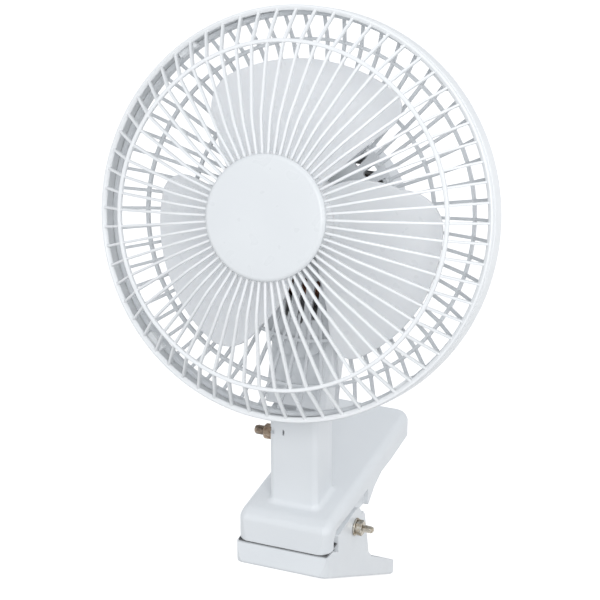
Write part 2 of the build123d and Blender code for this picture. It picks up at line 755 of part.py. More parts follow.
# ----------------------------------------------------------------------------
# Upper jaw: tray, handle and hollow post in one moulding
# ----------------------------------------------------------------------------
with BuildPart() as upper_jaw:
    # side view of the shell
    with BuildSketch(Plane.YZ) as side_view:
        with BuildLine():
            Polyline(
                (jaw_front, 0),
                (jaw_front + 1.2, jaw_nose),
                (crown_y, tray_height(crown_y)),
                (handle_end, tray_height(handle_end)),
                (handle_end, 13.5),
                (handle_end - 5, 10.4),
                (90, 8.8),
                (73, 9.0),
                (62, 5.6),
                (52, -0.6),
                (44, 0),
                close=True,
            )
        make_face()
        crown = side_view.vertices().filter_by(lambda v: abs(v.X - crown_y) < 0.01)
        fillet(crown, radius=crown_round)
    extrude(amount=half_jaw, both=True)
    # plan view: rounded nose corners, rounder ones at the handle's end
    with BuildSketch(Plane.XY.offset(-20)) as upper_plan:
        with Locations((0, (jaw_front + handle_end) / 2)):
            Rectangle(jaw_width, handle_end - jaw_front)
        fillet(upper_plan.vertices().group_by(Axis.Y)[0], radius=jaw_corner)
        fillet(upper_plan.vertices().group_by(Axis.Y)[-1], radius=handle_corner)
    extrude(amount=80, mode=Mode.INTERSECT)
    # soft edges all round the top; seams between its own faces cross the middle
    tops = upper_jaw.faces().filter_by(lambda f: f.normal_at().Z > 0.9 and f.area > 60)
    top_edges = tops.edges().filter_by(
        lambda e: abs(e.center().X) > 1 or abs(e.center().Y - crown_y) > 5
    )
    fillet(top_edges, radius=top_round)
    # hollow it from below
    with BuildSketch(Plane.YZ):
        with BuildLine():
            Polyline(
                (jaw_front + 3.2, 2.6),
                (jaw_front + 4.4, jaw_nose - jaw_wall),
                (crown_y, tray_height(crown_y) - jaw_wall - 0.3),
                (handle_end - 3.4, tray_height(handle_end - 3.4) - jaw_wall),
                (handle_end - 3.4, 0),
                (62, -2),
                (12, -2),
                (12, 2.6),
                close=True,
            )
        make_face()
    extrude(amount=wall_line - jaw_wall, both=True, mode=Mode.SUBTRACT)
    # the handle's walls are one wall thick, out to the jaw's full width
    with BuildSketch(Plane.YZ):
        with BuildLine():
            Polyline(
                (54, tray_height(54) - jaw_wall - 1),
                (handle_end - handle_corner, tray_height(handle_end) - jaw_wall - 1.4),
                (handle_end - handle_corner, 0),
                (54, 0),
                close=True,
            )
        make_face()
    extrude(amount=half_jaw - jaw_wall, both=True, mode=Mode.SUBTRACT)
    # recesses in the sides for the lower jaw's ears
    for side in (-1, 1):
        with BuildSketch(Plane.YZ.offset(side * wall_line)):
            with BuildLine():
                Polyline(
                    (recess_front, -1),
                    (recess_front, 5),
                    (recess_front + 4, 9.4),
                    (51, 9.4),
                    (51, -1),
                    close=True,
                )
            make_face()
        extrude(amount=side * jaw_width, mode=Mode.SUBTRACT)
    # bed for the grip pad
    with BuildSketch(Plane.XY):
        RectangleRounded(pad_width + 2 * nest_gap, pad_length + 2 * nest_gap, pad_corner)
    extrude(amount=pad_thick - mouth_gap / 2 + nest_gap, mode=Mode.SUBTRACT)
    # lugs round the hinge hole, part of the side walls
    for side in (-1, 1):
        with BuildSketch(Plane.YZ.offset(side * wall_line)):
            with BuildLine():
                Polyline(
                    (18, 0),
                    (23, -10.6),
                    (39.5, -10.6),
                    (44, 0),
                    (44, 6),
                    (18, 6),
                    close=True,
                )
            make_face()
        extrude(amount=-side * jaw_wall)
    with BuildSketch(Plane.YZ):
        with Locations(hinge):
            Circle(clamp_bolt_radius)
    extrude(amount=half_jaw, both=True, mode=Mode.SUBTRACT)
    # three long ribs under the handle
    for across in (-12, 0, 12):
        with BuildSketch(Plane.YZ.offset(across)):
            with BuildLine():
                Polyline(
                    (58, tray_height(58) - 1.2),
                    (handle_end - 2, tray_height(handle_end) - 1.4),
                    (handle_end - 3, 15.5),
                    (95, 13.4),
                    (70, 12.6),
                    close=True,
                )
            make_face()
        extrude(amount=rib_thick / 2, both=True)
    # post, standing on the tray
    with BuildSketch(Plane.XY.offset(post_foot)):
        with Locations((0, post_middle)):
            RectangleRounded(post_width, post_deep, post_corner)
    extrude(amount=post_top - post_foot)
    foot = upper_jaw.edges().filter_by(
        lambda e: abs(e.center().Z - tray_height(e.center().Y)) < 0.05
        and abs(e.center().X) < post_width / 2 + 0.1
        and abs(e.center().Y - post_middle) < post_deep / 2 + 0.1
    )
    fillet(foot, radius=foot_flare)
    # round the post's top about the pivot
    with BuildSketch(Plane.YZ):
        with Locations((pivot_y, pivot_z + post_deep)):
            Rectangle(2 * post_deep, 2 * post_deep)
        with Locations((pivot_y, pivot_z)):
            Circle(shoulder_reach - 0.5, mode=Mode.SUBTRACT)
    extrude(amount=post_width, both=True, mode=Mode.SUBTRACT)
    # hollow it, with a low back wall so that the neck can lean back
    with BuildSketch(Plane.XY.offset(post_foot + 4)):
        with Locations((0, post_middle)):
            RectangleRounded(2 * post_inside, post_deep - 2 * post_wall, 0.4)
    extrude(amount=post_top, mode=Mode.SUBTRACT)
    with BuildSketch(Plane.XY.offset(rear_wall_top)):
        with Locations((0, post_front + post_deep)):
            Rectangle(2 * post_inside, 3 * post_wall)
    extrude(amount=post_top, mode=Mode.SUBTRACT)
    # tilt pivot: through on the left, blind on the right
    with BuildSketch(Plane.YZ.offset(-post_width)):
        with Locations((pivot_y, pivot_z)):
            Circle(tilt_bolt_radius + running_gap)
    extrude(amount=post_width, mode=Mode.SUBTRACT)
    with BuildSketch(Plane.YZ.offset(post_inside - 1)):
        with Locations((pivot_y, pivot_z)):
            Circle(tilt_bolt_radius + 0.5 + running_gap)
    extrude(amount=2.6, mode=Mode.SUBTRACT)
    # a notch in the left corner and a slit beside it let that cheek close on the tongue
    with BuildSketch(Plane.XZ.offset(-post_front + 1)):
        with Locations((-post_width / 2 + 1.1, slit_height)):
            Rectangle(4.0, 3.4)
        with Locations((-post_width / 2 + 8.3, slit_height)):
            Rectangle(1.0, 3.2)
    extrude(amount=-(post_wall + 1.8), mode=Mode.SUBTRACT)
upper_jaw.part.label = "upper_jaw"
export_step(upper_jaw.part, "parts/upper_jaw.step")

# ----------------------------------------------------------------------------
# Lower jaw: trough with a long tail and two ears on the hinge
# ----------------------------------------------------------------------------
trough_front = jaw_front + 2.4
trough_top = -mouth_gap - 2.8
with BuildPart() as lower_jaw:
    with BuildSketch(Plane.YZ):
        with BuildLine():
            Polyline(
                (chin_front, chin_low),
                (tail_end, tail_low),
                (tail_end + 0.8, tail_low + 3.5),
                (tail_end - 2.4, tail_low + 11.0),
                (59, -38),
                (53.4, -32),
                (52.5, -28),
                (49.5, -16),
                (46.5, -4),
                (44, -mouth_gap),
                (jaw_front - 0.6, -mouth_gap),
                close=True,
            )
        make_face()
    extrude(amount=half_jaw, both=True)
    # plan view: rounded nose corners, rounder ones at the tail
    with BuildSketch(Plane.XY.offset(-90)) as lower_plan:
        with Locations((0, (chin_front + tail_end + 0.8) / 2)):
            Rectangle(jaw_width, tail_end + 0.8 - chin_front)
        fillet(lower_plan.vertices().group_by(Axis.Y)[0], radius=jaw_corner - 1)
        fillet(lower_plan.vertices().group_by(Axis.Y)[-1], radius=handle_corner)
    extrude(amount=120, mode=Mode.INTERSECT)
    bottom = lower_jaw.faces().sort_by(Axis((0, 0, 0), (0, sin(slope), cos(slope))))[0]
    fillet(bottom.edges(), radius=1.8)
    # trough
    with BuildSketch(Plane.YZ):
        with BuildLine():
            Polyline(
                (trough_front, trough_top),
                (chin_front + 3.4, chin_low + 1.8),
                (tail_end - 2.6, tail_low + 3.8),
                (tail_end - 2.6, tail_low + 30),
                (56, 8),
                (12, 8),
                (12, trough_top),
                close=True,
            )
        make_face()
    extrude(amount=half_jaw - jaw_wall, both=True, mode=Mode.SUBTRACT)
    # the sides step down in front of the ears, and the step ends inside each ear
    for side in (-1, 1):
        with BuildSketch(Plane.YZ.offset(side * wall_line)):
            with BuildLine():
                Polyline(
                    (recess_front, 1),
                    (recess_front, -mouth_gap - 0.4),
                    (ear_front + 0.5, -5.6),
                    (ear_front + 0.5, 1),
                    close=True,
                )
            make_face()
        extrude(amount=side * jaw_width, mode=Mode.SUBTRACT)
    # ears
    for side in (-1, 1):
        with BuildSketch(Plane.YZ.offset(side * half_jaw)):
            with Locations(hinge):
                Circle(ear_radius)
            with Locations((ear_front + 1, 3.7), (ear_front + 1, -9)):
                Circle(1.0)
            with Locations((44, -18)):
                Circle(2.0)
            make_hull()
        extrude(amount=-side * cheek_thick)
    with BuildSketch(Plane.YZ):
        with Locations(hinge):
            Circle(clamp_bolt_radius + running_gap)
    extrude(amount=half_jaw + 1, both=True, mode=Mode.SUBTRACT)
    # bed for the grip pad
    with BuildSketch(Plane.XY.offset(-mouth_gap)):
        RectangleRounded(pad_width + 2 * nest_gap, pad_length + 2 * nest_gap, pad_corner)
    extrude(amount=-(pad_thick - mouth_gap / 2 + nest_gap), mode=Mode.SUBTRACT)
    # two long ribs in the tail
    for across in (-9, 9):
        with BuildSketch(Plane.YZ.offset(across)):
            with BuildLine():
                Polyline(
                    (48, tail_height(48) + 1),
                    (tail_end - 2, tail_low + 2.4),
                    (tail_end - 2, tail_low + 6.5),
                    (60, tail_height(60) + 9),
                    close=True,
                )
            make_face()
        extrude(amount=rib_thick / 2, both=True)
lower_jaw.part.label = "lower_jaw"
export_step(lower_jaw.part, "parts/lower_jaw.step")

# Grip pads, grooved across
for name, side in {"upper_pad": 1, "lower_pad": -1}.items():
    low = -mouth_gap / 2 + side * face_gap / 2
    with BuildPart() as pad:
        with BuildSketch(Plane.XY.offset(low)):
            RectangleRounded(pad_width, pad_length, pad_corner)
        extrude(amount=side * (pad_thick - face_gap / 2))
        with BuildSketch(Plane.XY.offset(low)):
            with GridLocations(0, 3.6, 1, 4):
                Rectangle(pad_width, 0.9)
        extrude(amount=side * 0.6, mode=Mode.SUBTRACT)
    pad.part.label = name
    export_step(pad.part, "parts/" + name + ".step")

# ----------------------------------------------------------------------------
# Clamp bolt, washers, nut and spring
# ----------------------------------------------------------------------------
washer_thick = 1.0
nut_thick = 3.6
bolt_out = 5.8
washer_face = half_jaw + face_gap
with BuildPart() as clamp_bolt:
    with BuildSketch(Plane.YZ.offset(-washer_face - washer_thick)):
        with Locations(hinge):
            Circle(clamp_bolt_radius)
    extrude(amount=2 * washer_face + 2 * washer_thick + nut_thick + bolt_out)
    with BuildSketch(Plane.YZ.offset(-washer_face - washer_thick)):
        with Locations(hinge):
            RegularPolygon(clamp_nut_flats / 2, 6, major_radius=False)
    extrude(amount=-2.8)
    chamfer(clamp_bolt.faces().sort_by(Axis.X)[-1].edges(), 0.5)
clamp_bolt.part.label = "clamp_bolt"
export_step(clamp_bolt.part, "parts/clamp_bolt.step")

for name, start in {"left": -washer_face - washer_thick, "right": washer_face}.items():
    with BuildPart() as clamp_washer:
        with BuildSketch(Plane.YZ.offset(start)):
            with Locations(hinge):
                Circle(5.0)
                Circle(clamp_bolt_radius, mode=Mode.SUBTRACT)
        extrude(amount=washer_thick)
    clamp_washer.part.label = "clamp_washer_" + name
    export_step(clamp_washer.part, "parts/clamp_washer_" + name + ".step")

with BuildPart() as clamp_nut:
    with BuildSketch(Plane.YZ.offset(washer_face + washer_thick)):
        with Locations(hinge):
            RegularPolygon(clamp_nut_flats / 2, 6, major_radius=False)
            Circle(clamp_bolt_radius, mode=Mode.SUBTRACT)
    extrude(amount=nut_thick)
clamp_nut.part.label = "clamp_nut"
export_step(clamp_nut.part, "parts/clamp_nut.step")

spring_wire = 0.8
spring_radius = 4.6
spring_turns = 5
spring_pitch = 2.4
spring_long = spring_turns * spring_pitch
with BuildPart() as clamp_spring:
    with BuildLine() as coil_line:
        Helix(pitch=spring_pitch, height=spring_long, radius=spring_radius)
    with BuildSketch(coil_line.line ^ 0):
        RegularPolygon(spring_wire, 6)
    sweep(path=coil_line.line, is_frenet=True)
wire = coil_line.edges()[0]
wire_points = [wire @ (k / 400) for k in range(401)]
turn_length = wire.length / spring_turns
step_length = wire.length / 400
spring_gap = min(
    (wire_points[i] - wire_points[j]).length - 2 * spring_wire
    for i in range(401)
    for j in range(i + 1, 401)
    if (j - i) * step_length > turn_length / 2
)
print("clamp spring: least gap between turns", round(spring_gap, 2), "mm")
clamp_spring.part.move(Pos(-spring_long / 2, hinge_y, hinge_z) * Rotation(0, 90, 0))
clamp_spring.part.label = "clamp_spring"
export_step(clamp_spring.part, "parts/clamp_spring.step")

# ----------------------------------------------------------------------------
# Tilt bolt, its washer and nut
# ----------------------------------------------------------------------------
tilt_washer_thick = 0.9
tilt_nut_thick = 4.4
tilt_out = 5.7
cheek_face = -post_width / 2 - face_gap
head_seat = tongue_half - 4.0 + face_gap
with BuildPart() as tilt_bolt:
    with BuildSketch(Plane.YZ.offset(cheek_face - tilt_washer_thick - tilt_nut_thick - tilt_out)):
        with Locations((pivot_up, pivot_out)):
            Circle(tilt_bolt_radius)
    extrude(amount=head_seat - cheek_face + tilt_washer_thick + tilt_nut_thick + tilt_out)
    with BuildSketch(Plane.YZ.offset(head_seat)):
        with Locations((pivot_up, pivot_out)):
            RegularPolygon(tilt_nut_flats / 2, 6, major_radius=False)
    extrude(amount=tongue_half - head_seat)
    with BuildSketch(Plane.YZ.offset(tongue_half)):
        with Locations((pivot_up, pivot_out)):
            Circle(tilt_bolt_radius + 0.5)
    extrude(amount=1.3)
    chamfer(tilt_bolt.faces().sort_by(Axis.X)[0].edges(), 0.5)
tilt_bolt.part.move(head_pose)
tilt_bolt.part.label = "tilt_bolt"
export_step(tilt_bolt.part, "parts/tilt_bolt.step")

with BuildPart() as tilt_washer:
    with BuildSketch(Plane.YZ.offset(cheek_face)):
        with Locations((pivot_up, pivot_out)):
            Circle(4.4)
            Circle(tilt_bolt_radius, mode=Mode.SUBTRACT)
    extrude(amount=-tilt_washer_thick)
tilt_washer.part.move(head_pose)
tilt_washer.part.label = "tilt_washer"
export_step(tilt_washer.part, "parts/tilt_washer.step")

with BuildPart() as tilt_nut:
    with BuildSketch(Plane.YZ.offset(cheek_face - tilt_washer_thick)):
        with Locations((pivot_up, pivot_out)):
            RegularPolygon(tilt_nut_flats / 2, 6, major_radius=False)
            Circle(tilt_bolt_radius, mode=Mode.SUBTRACT)
    extrude(amount=-tilt_nut_thick)
tilt_nut.part.move(head_pose)
tilt_nut.part.label = "tilt_nut"
export_step(tilt_nut.part, "parts/tilt_nut.step")
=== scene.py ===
# %% [markdown]
# # A clip-on fan, dressed for its portrait
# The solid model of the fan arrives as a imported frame: every moulded and metal
# piece is already there, in metres, standing in its place. This lesson gives
# those pieces their finishes, and rebuilds the ones that a close look shows to
# be too plain, such as ribs with square edges and bolts without threads.
# The frame comes first, because each new piece takes its place from it.

import json
import math

import bmesh
import bpy
from mathutils import Matrix, Vector


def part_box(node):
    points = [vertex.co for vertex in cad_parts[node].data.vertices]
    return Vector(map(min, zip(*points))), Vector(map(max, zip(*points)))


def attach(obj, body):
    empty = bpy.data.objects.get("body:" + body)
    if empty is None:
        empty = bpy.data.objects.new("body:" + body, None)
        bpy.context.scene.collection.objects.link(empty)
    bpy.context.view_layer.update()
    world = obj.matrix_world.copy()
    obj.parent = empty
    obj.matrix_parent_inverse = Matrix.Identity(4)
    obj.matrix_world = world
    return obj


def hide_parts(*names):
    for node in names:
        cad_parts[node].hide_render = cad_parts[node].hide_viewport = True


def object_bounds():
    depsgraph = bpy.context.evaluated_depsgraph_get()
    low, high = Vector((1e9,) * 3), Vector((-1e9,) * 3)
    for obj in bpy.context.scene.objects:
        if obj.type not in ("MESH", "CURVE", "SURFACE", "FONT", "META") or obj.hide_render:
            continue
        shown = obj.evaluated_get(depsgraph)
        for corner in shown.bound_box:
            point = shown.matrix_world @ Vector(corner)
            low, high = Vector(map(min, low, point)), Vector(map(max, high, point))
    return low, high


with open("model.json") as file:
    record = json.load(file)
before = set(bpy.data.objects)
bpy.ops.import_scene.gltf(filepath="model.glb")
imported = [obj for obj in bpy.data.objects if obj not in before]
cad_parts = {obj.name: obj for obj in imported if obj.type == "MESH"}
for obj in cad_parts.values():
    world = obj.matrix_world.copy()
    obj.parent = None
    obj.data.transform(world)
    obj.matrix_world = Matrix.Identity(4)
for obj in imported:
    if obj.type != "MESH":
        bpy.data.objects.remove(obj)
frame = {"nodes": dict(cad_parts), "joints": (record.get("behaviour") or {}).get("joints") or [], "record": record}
cad_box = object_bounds()
nodes = frame["nodes"]
mm = 0.001

# %% [markdown]
# ## Where the head and the hinge are
# The head leans back, so its pieces are drawn flat, with the fan's axis as Z,
# and one matrix leans them into place. The fan's own joint gives that matrix:
# it holds the middle of the rim and the way the fan faces. The clamp's hinge
# gives the place of the spring. Reading both is safer than typing angles,
# because a changed model then moves the new pieces too.

# %% Places taken from the joints
joints = {joint["name"]: joint for joint in frame["joints"]}


def head_matrix():
    facing = Vector(joints["fan_spin"]["axis"]).normalized()
    across = Vector((1, 0, 0))
    upward = facing.cross(across)
    turn = Matrix((across, upward, facing)).transposed().to_4x4()
    return Matrix.Translation(joints["fan_spin"]["pos_m"]) @ turn


head_place = head_matrix()
hinge_place = Matrix.Translation(joints["jaw_hinge"]["pos_m"])
print("rim middle:", [round(v, 4) for v in head_place.translation])
print("clamp hinge:", [round(v, 4) for v in hinge_place.translation])

# %% [markdown]
# ## The camera
# The photograph is taken from the right of the fan's front and from above,
# more than a metre away and with a long lens, which is why the round guard
# looks hardly wider at its near side. Its angles and distance were fitted to
# the circles of the guard and to edges of the post and the jaws. A closer
# camera with a short lens would make the guard bulge.

# %% Camera
turn_right = math.radians(21.605)
look_down = math.radians(24.213)
camera_back = 1.1151
aim = Vector((0.00831, -0.00546, 0.14401))
camera_data = bpy.data.cameras.new("portrait")
camera_data.sensor_width = 36
camera_data.lens = 132
camera = bpy.data.objects.new("portrait", camera_data)
bpy.context.scene.collection.objects.link(camera)
away = Vector((
    math.sin(turn_right) * math.cos(look_down),
    -math.cos(turn_right) * math.cos(look_down),
    math.sin(look_down),
))
camera.location = aim + away * camera_back
camera.rotation_euler = (-away).to_track_quat("-Z", "Y").to_euler()
bpy.context.scene.camera = camera
print("camera at:", [round(v, 3) for v in camera.location])

# %% [markdown]
# ## Soft studio light
# White plastic shows its form only by gentle changes of grey. A big lamp above
# the camera shapes it, wider and weaker ones at the right and left fill it,
# and a pale world lights what both miss. Lamps that are large and far away
# keep the shadows of the thin ribs soft; small ones would stripe the blades.

# %% Lamps
lamp_target = Vector((0, 0, 0.15))


def area_lamp(name, place, size, power):
    data = bpy.data.lights.new(name, "AREA")
    data.shape = "DISK"
    data.size = size
    data.energy = power
    lamp = bpy.data.objects.new(name, data)
    lamp.location = place
    lamp.rotation_euler = (lamp_target - lamp.location).to_track_quat("-Z", "Y").to_euler()
    bpy.context.scene.collection.objects.link(lamp)
    print(name, "lamp:", size, "m across,", power, "W")


area_lamp("key", (0.9, -1.7, 1.15), 1.0, 17)
area_lamp("side", (2.1, -0.3, 0.7), 1.2, 5)
area_lamp("left", (-1.6, -1.5, 0.4), 1.6, 4)

# %% World
room_colour = (0.93, 0.96, 1.0, 1)
room_strength = 0.8
white = (1, 1, 1, 1)

world = bpy.data.worlds.new("pale_room")
bpy.context.scene.world = world
world.use_nodes = True
wires = world.node_tree
wires.nodes.clear()
room = wires.nodes.new("ShaderNodeBackground")
room.inputs["Color"].default_value = room_colour
room.inputs["Strength"].default_value = room_strength
screen = wires.nodes.new("ShaderNodeBackground")
screen.inputs["Color"].default_value = white
path = wires.nodes.new("ShaderNodeLightPath")
pick = wires.nodes.new("ShaderNodeMixShader")
out = wires.nodes.new("ShaderNodeOutputWorld")
wires.links.new(path.outputs["Is Camera Ray"], pick.inputs["Fac"])
wires.links.new(room.outputs["Background"], pick.inputs[1])
wires.links.new(screen.outputs["Background"], pick.inputs[2])
wires.links.new(pick.outputs["Shader"], out.inputs["Surface"])
bpy.context.scene.view_settings.view_transform = "Standard"
print("world:", world.name)

# %% [markdown]
# ## The white table
# A clip fan is photographed standing on its own clamp, so it needs a table
# that is barely there. The floor's own colour is a middle grey, which throws
# little light back up under the jaws. A glow that only the camera and glossy
# rays can see makes it white, and the lower jaw still drops a soft shadow. A
# white floor alone would need lamps so strong that the plastic would clip.

# %% Floor
floor_half = 3.0
floor_gap = 0.2 * mm
floor_colour = (0.42, 0.425, 0.43, 1)
floor_glow = 0.85


def floor_paint():
    paint = bpy.data.materials.new("floor_white")
    paint.use_nodes = True
    tree = paint.node_tree
    tree.nodes.clear()
    diffuse = tree.nodes.new("ShaderNodeBsdfDiffuse")
    diffuse.inputs["Color"].default_value = floor_colour
    glow = tree.nodes.new("ShaderNodeEmission")
    glow.inputs["Color"].default_value = white
    glow.inputs["Strength"].default_value = floor_glow
    light_path = tree.nodes.new("ShaderNodeLightPath")
    seen = tree.nodes.new("ShaderNodeMath")
    seen.operation = "MAXIMUM"
    dim = tree.nodes.new("ShaderNodeMixShader")
    total = tree.nodes.new("ShaderNodeAddShader")
    end = tree.nodes.new("ShaderNodeOutputMaterial")
    tree.links.new(light_path.outputs["Is Camera Ray"], seen.inputs[0])
    tree.links.new(light_path.outputs["Is Glossy Ray"], seen.inputs[1])
    tree.links.new(seen.outputs[0], dim.inputs["Fac"])
    tree.links.new(glow.outputs["Emission"], dim.inputs[2])
    tree.links.new(diffuse.outputs["BSDF"], total.inputs[0])
    tree.links.new(dim.outputs["Shader"], total.inputs[1])
    tree.links.new(total.outputs["Shader"], end.inputs["Surface"])
    return paint


def white_floor():
    bm = bmesh.new()
    bmesh.ops.create_grid(bm, x_segments=1, y_segments=1, size=floor_half)
    bmesh.ops.translate(bm, verts=bm.verts, vec=(0, 0, cad_box[0].z - floor_gap))
    mesh = bpy.data.meshes.new("floor")
    bm.to_mesh(mesh)
    bm.free()
    floor = bpy.data.objects.new("floor", mesh)
    bpy.context.scene.collection.objects.link(floor)
    mesh.materials.append(floor_paint())
    print("floor:", 2 * floor_half, "m wide")


white_floor()

# %% [markdown]
# ## A group for moulded plastic
# Moulded polypropylene is never one flat colour. Its colour drifts by a few
# percent where the melt cooled at different speeds, and its skin carries the fine
# spark-erosion grain of the steel mould. Its thin edges are painted lighter:
# partly painted light, for the light that gets through them, and partly the
# polish of hands. One node group makes all three, so that every white piece
# shares them with its own values. An image would do the same, but it needs
# unwrapping and shows its pixels.

# %% Helpers: a group and the nodes inside it
def new_group(name, inputs, outputs):
    group = bpy.data.node_groups.new(name, "ShaderNodeTree")
    for label, kind, value in inputs:
        socket = group.interface.new_socket(label, in_out="INPUT", socket_type=kind)
        socket.default_value = value
    for label, kind in outputs:
        group.interface.new_socket(label, in_out="OUTPUT", socket_type=kind)
    start = group.nodes.new("NodeGroupInput")
    end = group.nodes.new("NodeGroupOutput")
    return group, start.outputs, end.inputs


def feed(group, slot, value):
    # another node's output is linked, and a plain value is set
    if isinstance(value, bpy.types.NodeSocket):
        group.links.new(value, slot)
    else:
        slot.default_value = value


def maths(group, operation, first, second):
    node = group.nodes.new("ShaderNodeMath")
    node.operation = operation
    feed(group, node.inputs[0], first)
    feed(group, node.inputs[1], second)
    return node.outputs[0]


def blend_colours(group, factor, first, second):
    # a Mix node keeps its colour sockets at places 6 and 7, and their result at 2
    node = group.nodes.new("ShaderNodeMix")
    node.data_type = "RGBA"
    feed(group, node.inputs[0], factor)
    feed(group, node.inputs[6], first)
    feed(group, node.inputs[7], second)
    return node.outputs[2]


def noise(group, scale, detail, stretch=(1, 1, 1)):
    # scale is in waves for each metre, and detail is the number of finer layers
    where = group.nodes.new("ShaderNodeTexCoord")
    mapping = group.nodes.new("ShaderNodeMapping")
    mapping.inputs["Scale"].default_value = stretch
    texture = group.nodes.new("ShaderNodeTexNoise")
    texture.inputs["Scale"].default_value = scale
    texture.inputs["Detail"].default_value = detail
    group.links.new(where.outputs["Object"], mapping.inputs["Vector"])
    group.links.new(mapping.outputs["Vector"], texture.inputs["Vector"])
    return texture.outputs["Fac"]


def spread(group, value, low, high, to_low, to_high):
    node = group.nodes.new("ShaderNodeMapRange")
    node.inputs["From Min"].default_value = low
    node.inputs["From Max"].default_value = high
    node.inputs["To Min"].default_value = to_low
    node.inputs["To Max"].default_value = to_high
    group.links.new(value, node.inputs["Value"])
    return node.outputs["Result"]


def edge_mask(group, radius):
    # the mask is how far the rounded normal leaves the flat one, along edges only
    rounded = group.nodes.new("ShaderNodeBevel")
    rounded.samples = 4
    rounded.inputs["Radius"].default_value = radius
    flat = group.nodes.new("ShaderNodeNewGeometry")
    product = group.nodes.new("ShaderNodeVectorMath")
    product.operation = "DOT_PRODUCT"
    group.links.new(rounded.outputs["Normal"], product.inputs[0])
    group.links.new(flat.outputs["Normal"], product.inputs[1])
    return rounded.outputs["Normal"], spread(group, product.outputs["Value"], 0.98, 0.75, 0, 1)


def bump(group, height, strength, distance, normal):
    node = group.nodes.new("ShaderNodeBump")
    node.inputs["Distance"].default_value = distance
    feed(group, node.inputs["Strength"], strength)
    feed(group, node.inputs["Height"], height)
    feed(group, node.inputs["Normal"], normal)
    return node.outputs["Normal"]


group_outputs = [
    ("Colour", "NodeSocketColor"), ("Roughness", "NodeSocketFloat"), ("Normal", "NodeSocketVector"),
]
print("a group puts out:", [label for label, kind in group_outputs])

# %% Group: moulded skin
skin_edge = 0.5 * mm
# the pale colour the edges are blended towards: painted light where light gets through them, and wear where hands
# polish them
edge_sheen_and_wear_colour = (0.94, 0.95, 0.96, 1)
grain_depth = 0.04 * mm
drift_share = 0.6
flow_share = 0.3
edge_sheen_and_wear_share = 0.35
edge_polish = 0.08


def make_moulded_skin():
    group, given, put = new_group(
        "moulded_skin",
        [
            ("Colour", "NodeSocketColor", (0.8, 0.8, 0.8, 1)),
            ("Shade", "NodeSocketColor", (0.7, 0.7, 0.7, 1)),
            ("Grain", "NodeSocketFloat", 0.2),
            ("Dullness", "NodeSocketFloat", 0.35),
        ],
        group_outputs,
    )
    drift = noise(group, 26, 1.0)
    flow = noise(group, 60, 1.0, (1, 0.25, 1))
    drifting = maths(group, "MULTIPLY", spread(group, drift, 0.25, 0.75, 0, 1), drift_share)
    flowing = maths(group, "MULTIPLY", spread(group, flow, 0.25, 0.75, 0, 1), flow_share)
    uneven = maths(group, "ADD", drifting, flowing)
    body = blend_colours(group, uneven, given["Colour"], given["Shade"])
    rounded, edge = edge_mask(group, skin_edge)
    # edges painted lighter: partly painted light, partly the polish of hands
    sheen_and_wear = blend_colours(group, maths(group, "MULTIPLY", edge, edge_sheen_and_wear_share), body, edge_sheen_and_wear_colour)
    group.links.new(sheen_and_wear, put["Colour"])
    grain = noise(group, 2600, 2.0)
    rub = noise(group, 140, 1.0)
    rough = maths(group, "ADD", given["Dullness"], spread(group, rub, 0.2, 0.8, -0.05, 0.06))
    polished = maths(group, "SUBTRACT", rough, maths(group, "MULTIPLY", edge, edge_polish))
    group.links.new(polished, put["Roughness"])
    group.links.new(bump(group, grain, given["Grain"], grain_depth, rounded), put["Normal"])
    return group


moulded_skin = make_moulded_skin()
print("group:", moulded_skin.name)

# %% [markdown]
# ## A group for plated steel
# Bolts and nuts of a cheap clamp are plated with zinc and dipped yellow. The
# film is uneven, so it goes from grey to straw to brown within a millimetre,
# spanner marks rub it bright on the corners, and turning leaves fine lines
# round the bolt. The group gives colour, roughness and a bump for those lines.

# %% Group: plated metal
plate_edge = 0.25 * mm
plate_specks = (0.12, 0.09, 0.07, 1)
plate_bright = (0.78, 0.76, 0.72, 1)
bright_share = 0.6
stain_dull = 0.18
line_strength = 0.25
line_depth = 0.03 * mm


def make_plated_metal():
    group, given, put = new_group(
        "plated_metal",
        [
            ("Colour", "NodeSocketColor", (0.5, 0.48, 0.44, 1)),
            ("Stain", "NodeSocketColor", (0.3, 0.22, 0.14, 1)),
            ("Dullness", "NodeSocketFloat", 0.35),
        ],
        group_outputs,
    )
    patches = noise(group, 420, 4.0)
    specks = noise(group, 1900, 2.0)
    stain = spread(group, patches, 0.42, 0.64, 0, 1)
    film = blend_colours(group, stain, given["Colour"], given["Stain"])
    film = blend_colours(group, spread(group, specks, 0.6, 0.75, 0, 0.5), film, plate_specks)
    rounded, edge = edge_mask(group, plate_edge)
    bright = blend_colours(group, maths(group, "MULTIPLY", edge, bright_share), film, plate_bright)
    group.links.new(bright, put["Colour"])
    rough = maths(group, "ADD", given["Dullness"], maths(group, "MULTIPLY", stain, stain_dull))
    group.links.new(rough, put["Roughness"])
    lines = noise(group, 700, 2.0, (6, 1, 1))
    group.links.new(bump(group, lines, line_strength, line_depth, rounded), put["Normal"])
    return group


plated_metal = make_plated_metal()
print("group:", plated_metal.name)

# %% [markdown]
# ## Materials from the two groups
# Each slot of the record gets one material. The shader stays in the material
# and the group feeds it, because metalness and the light inside the plastic
# are the same all over a piece, while colour, roughness and normal change over
# its surface.

# %% Material makers
materials = {}
plastic_index = 1.49
scatter_depth = 1.2 * mm
scatter_reach = (0.9, 1.0, 1.1)


def shader_tree(name):
    made = bpy.data.materials.new(name)
    made.use_nodes = True
    materials[name] = made
    return made.node_tree, made.node_tree.nodes["Principled BSDF"]


def place_group(tree, group, values, shader):
    node = tree.nodes.new("ShaderNodeGroup")
    node.node_tree = group
    for label, value in values.items():
        node.inputs[label].default_value = value
    for label, socket in (("Colour", "Base Color"), ("Roughness", "Roughness"), ("Normal", "Normal")):
        tree.links.new(node.outputs[label], shader.inputs[socket])


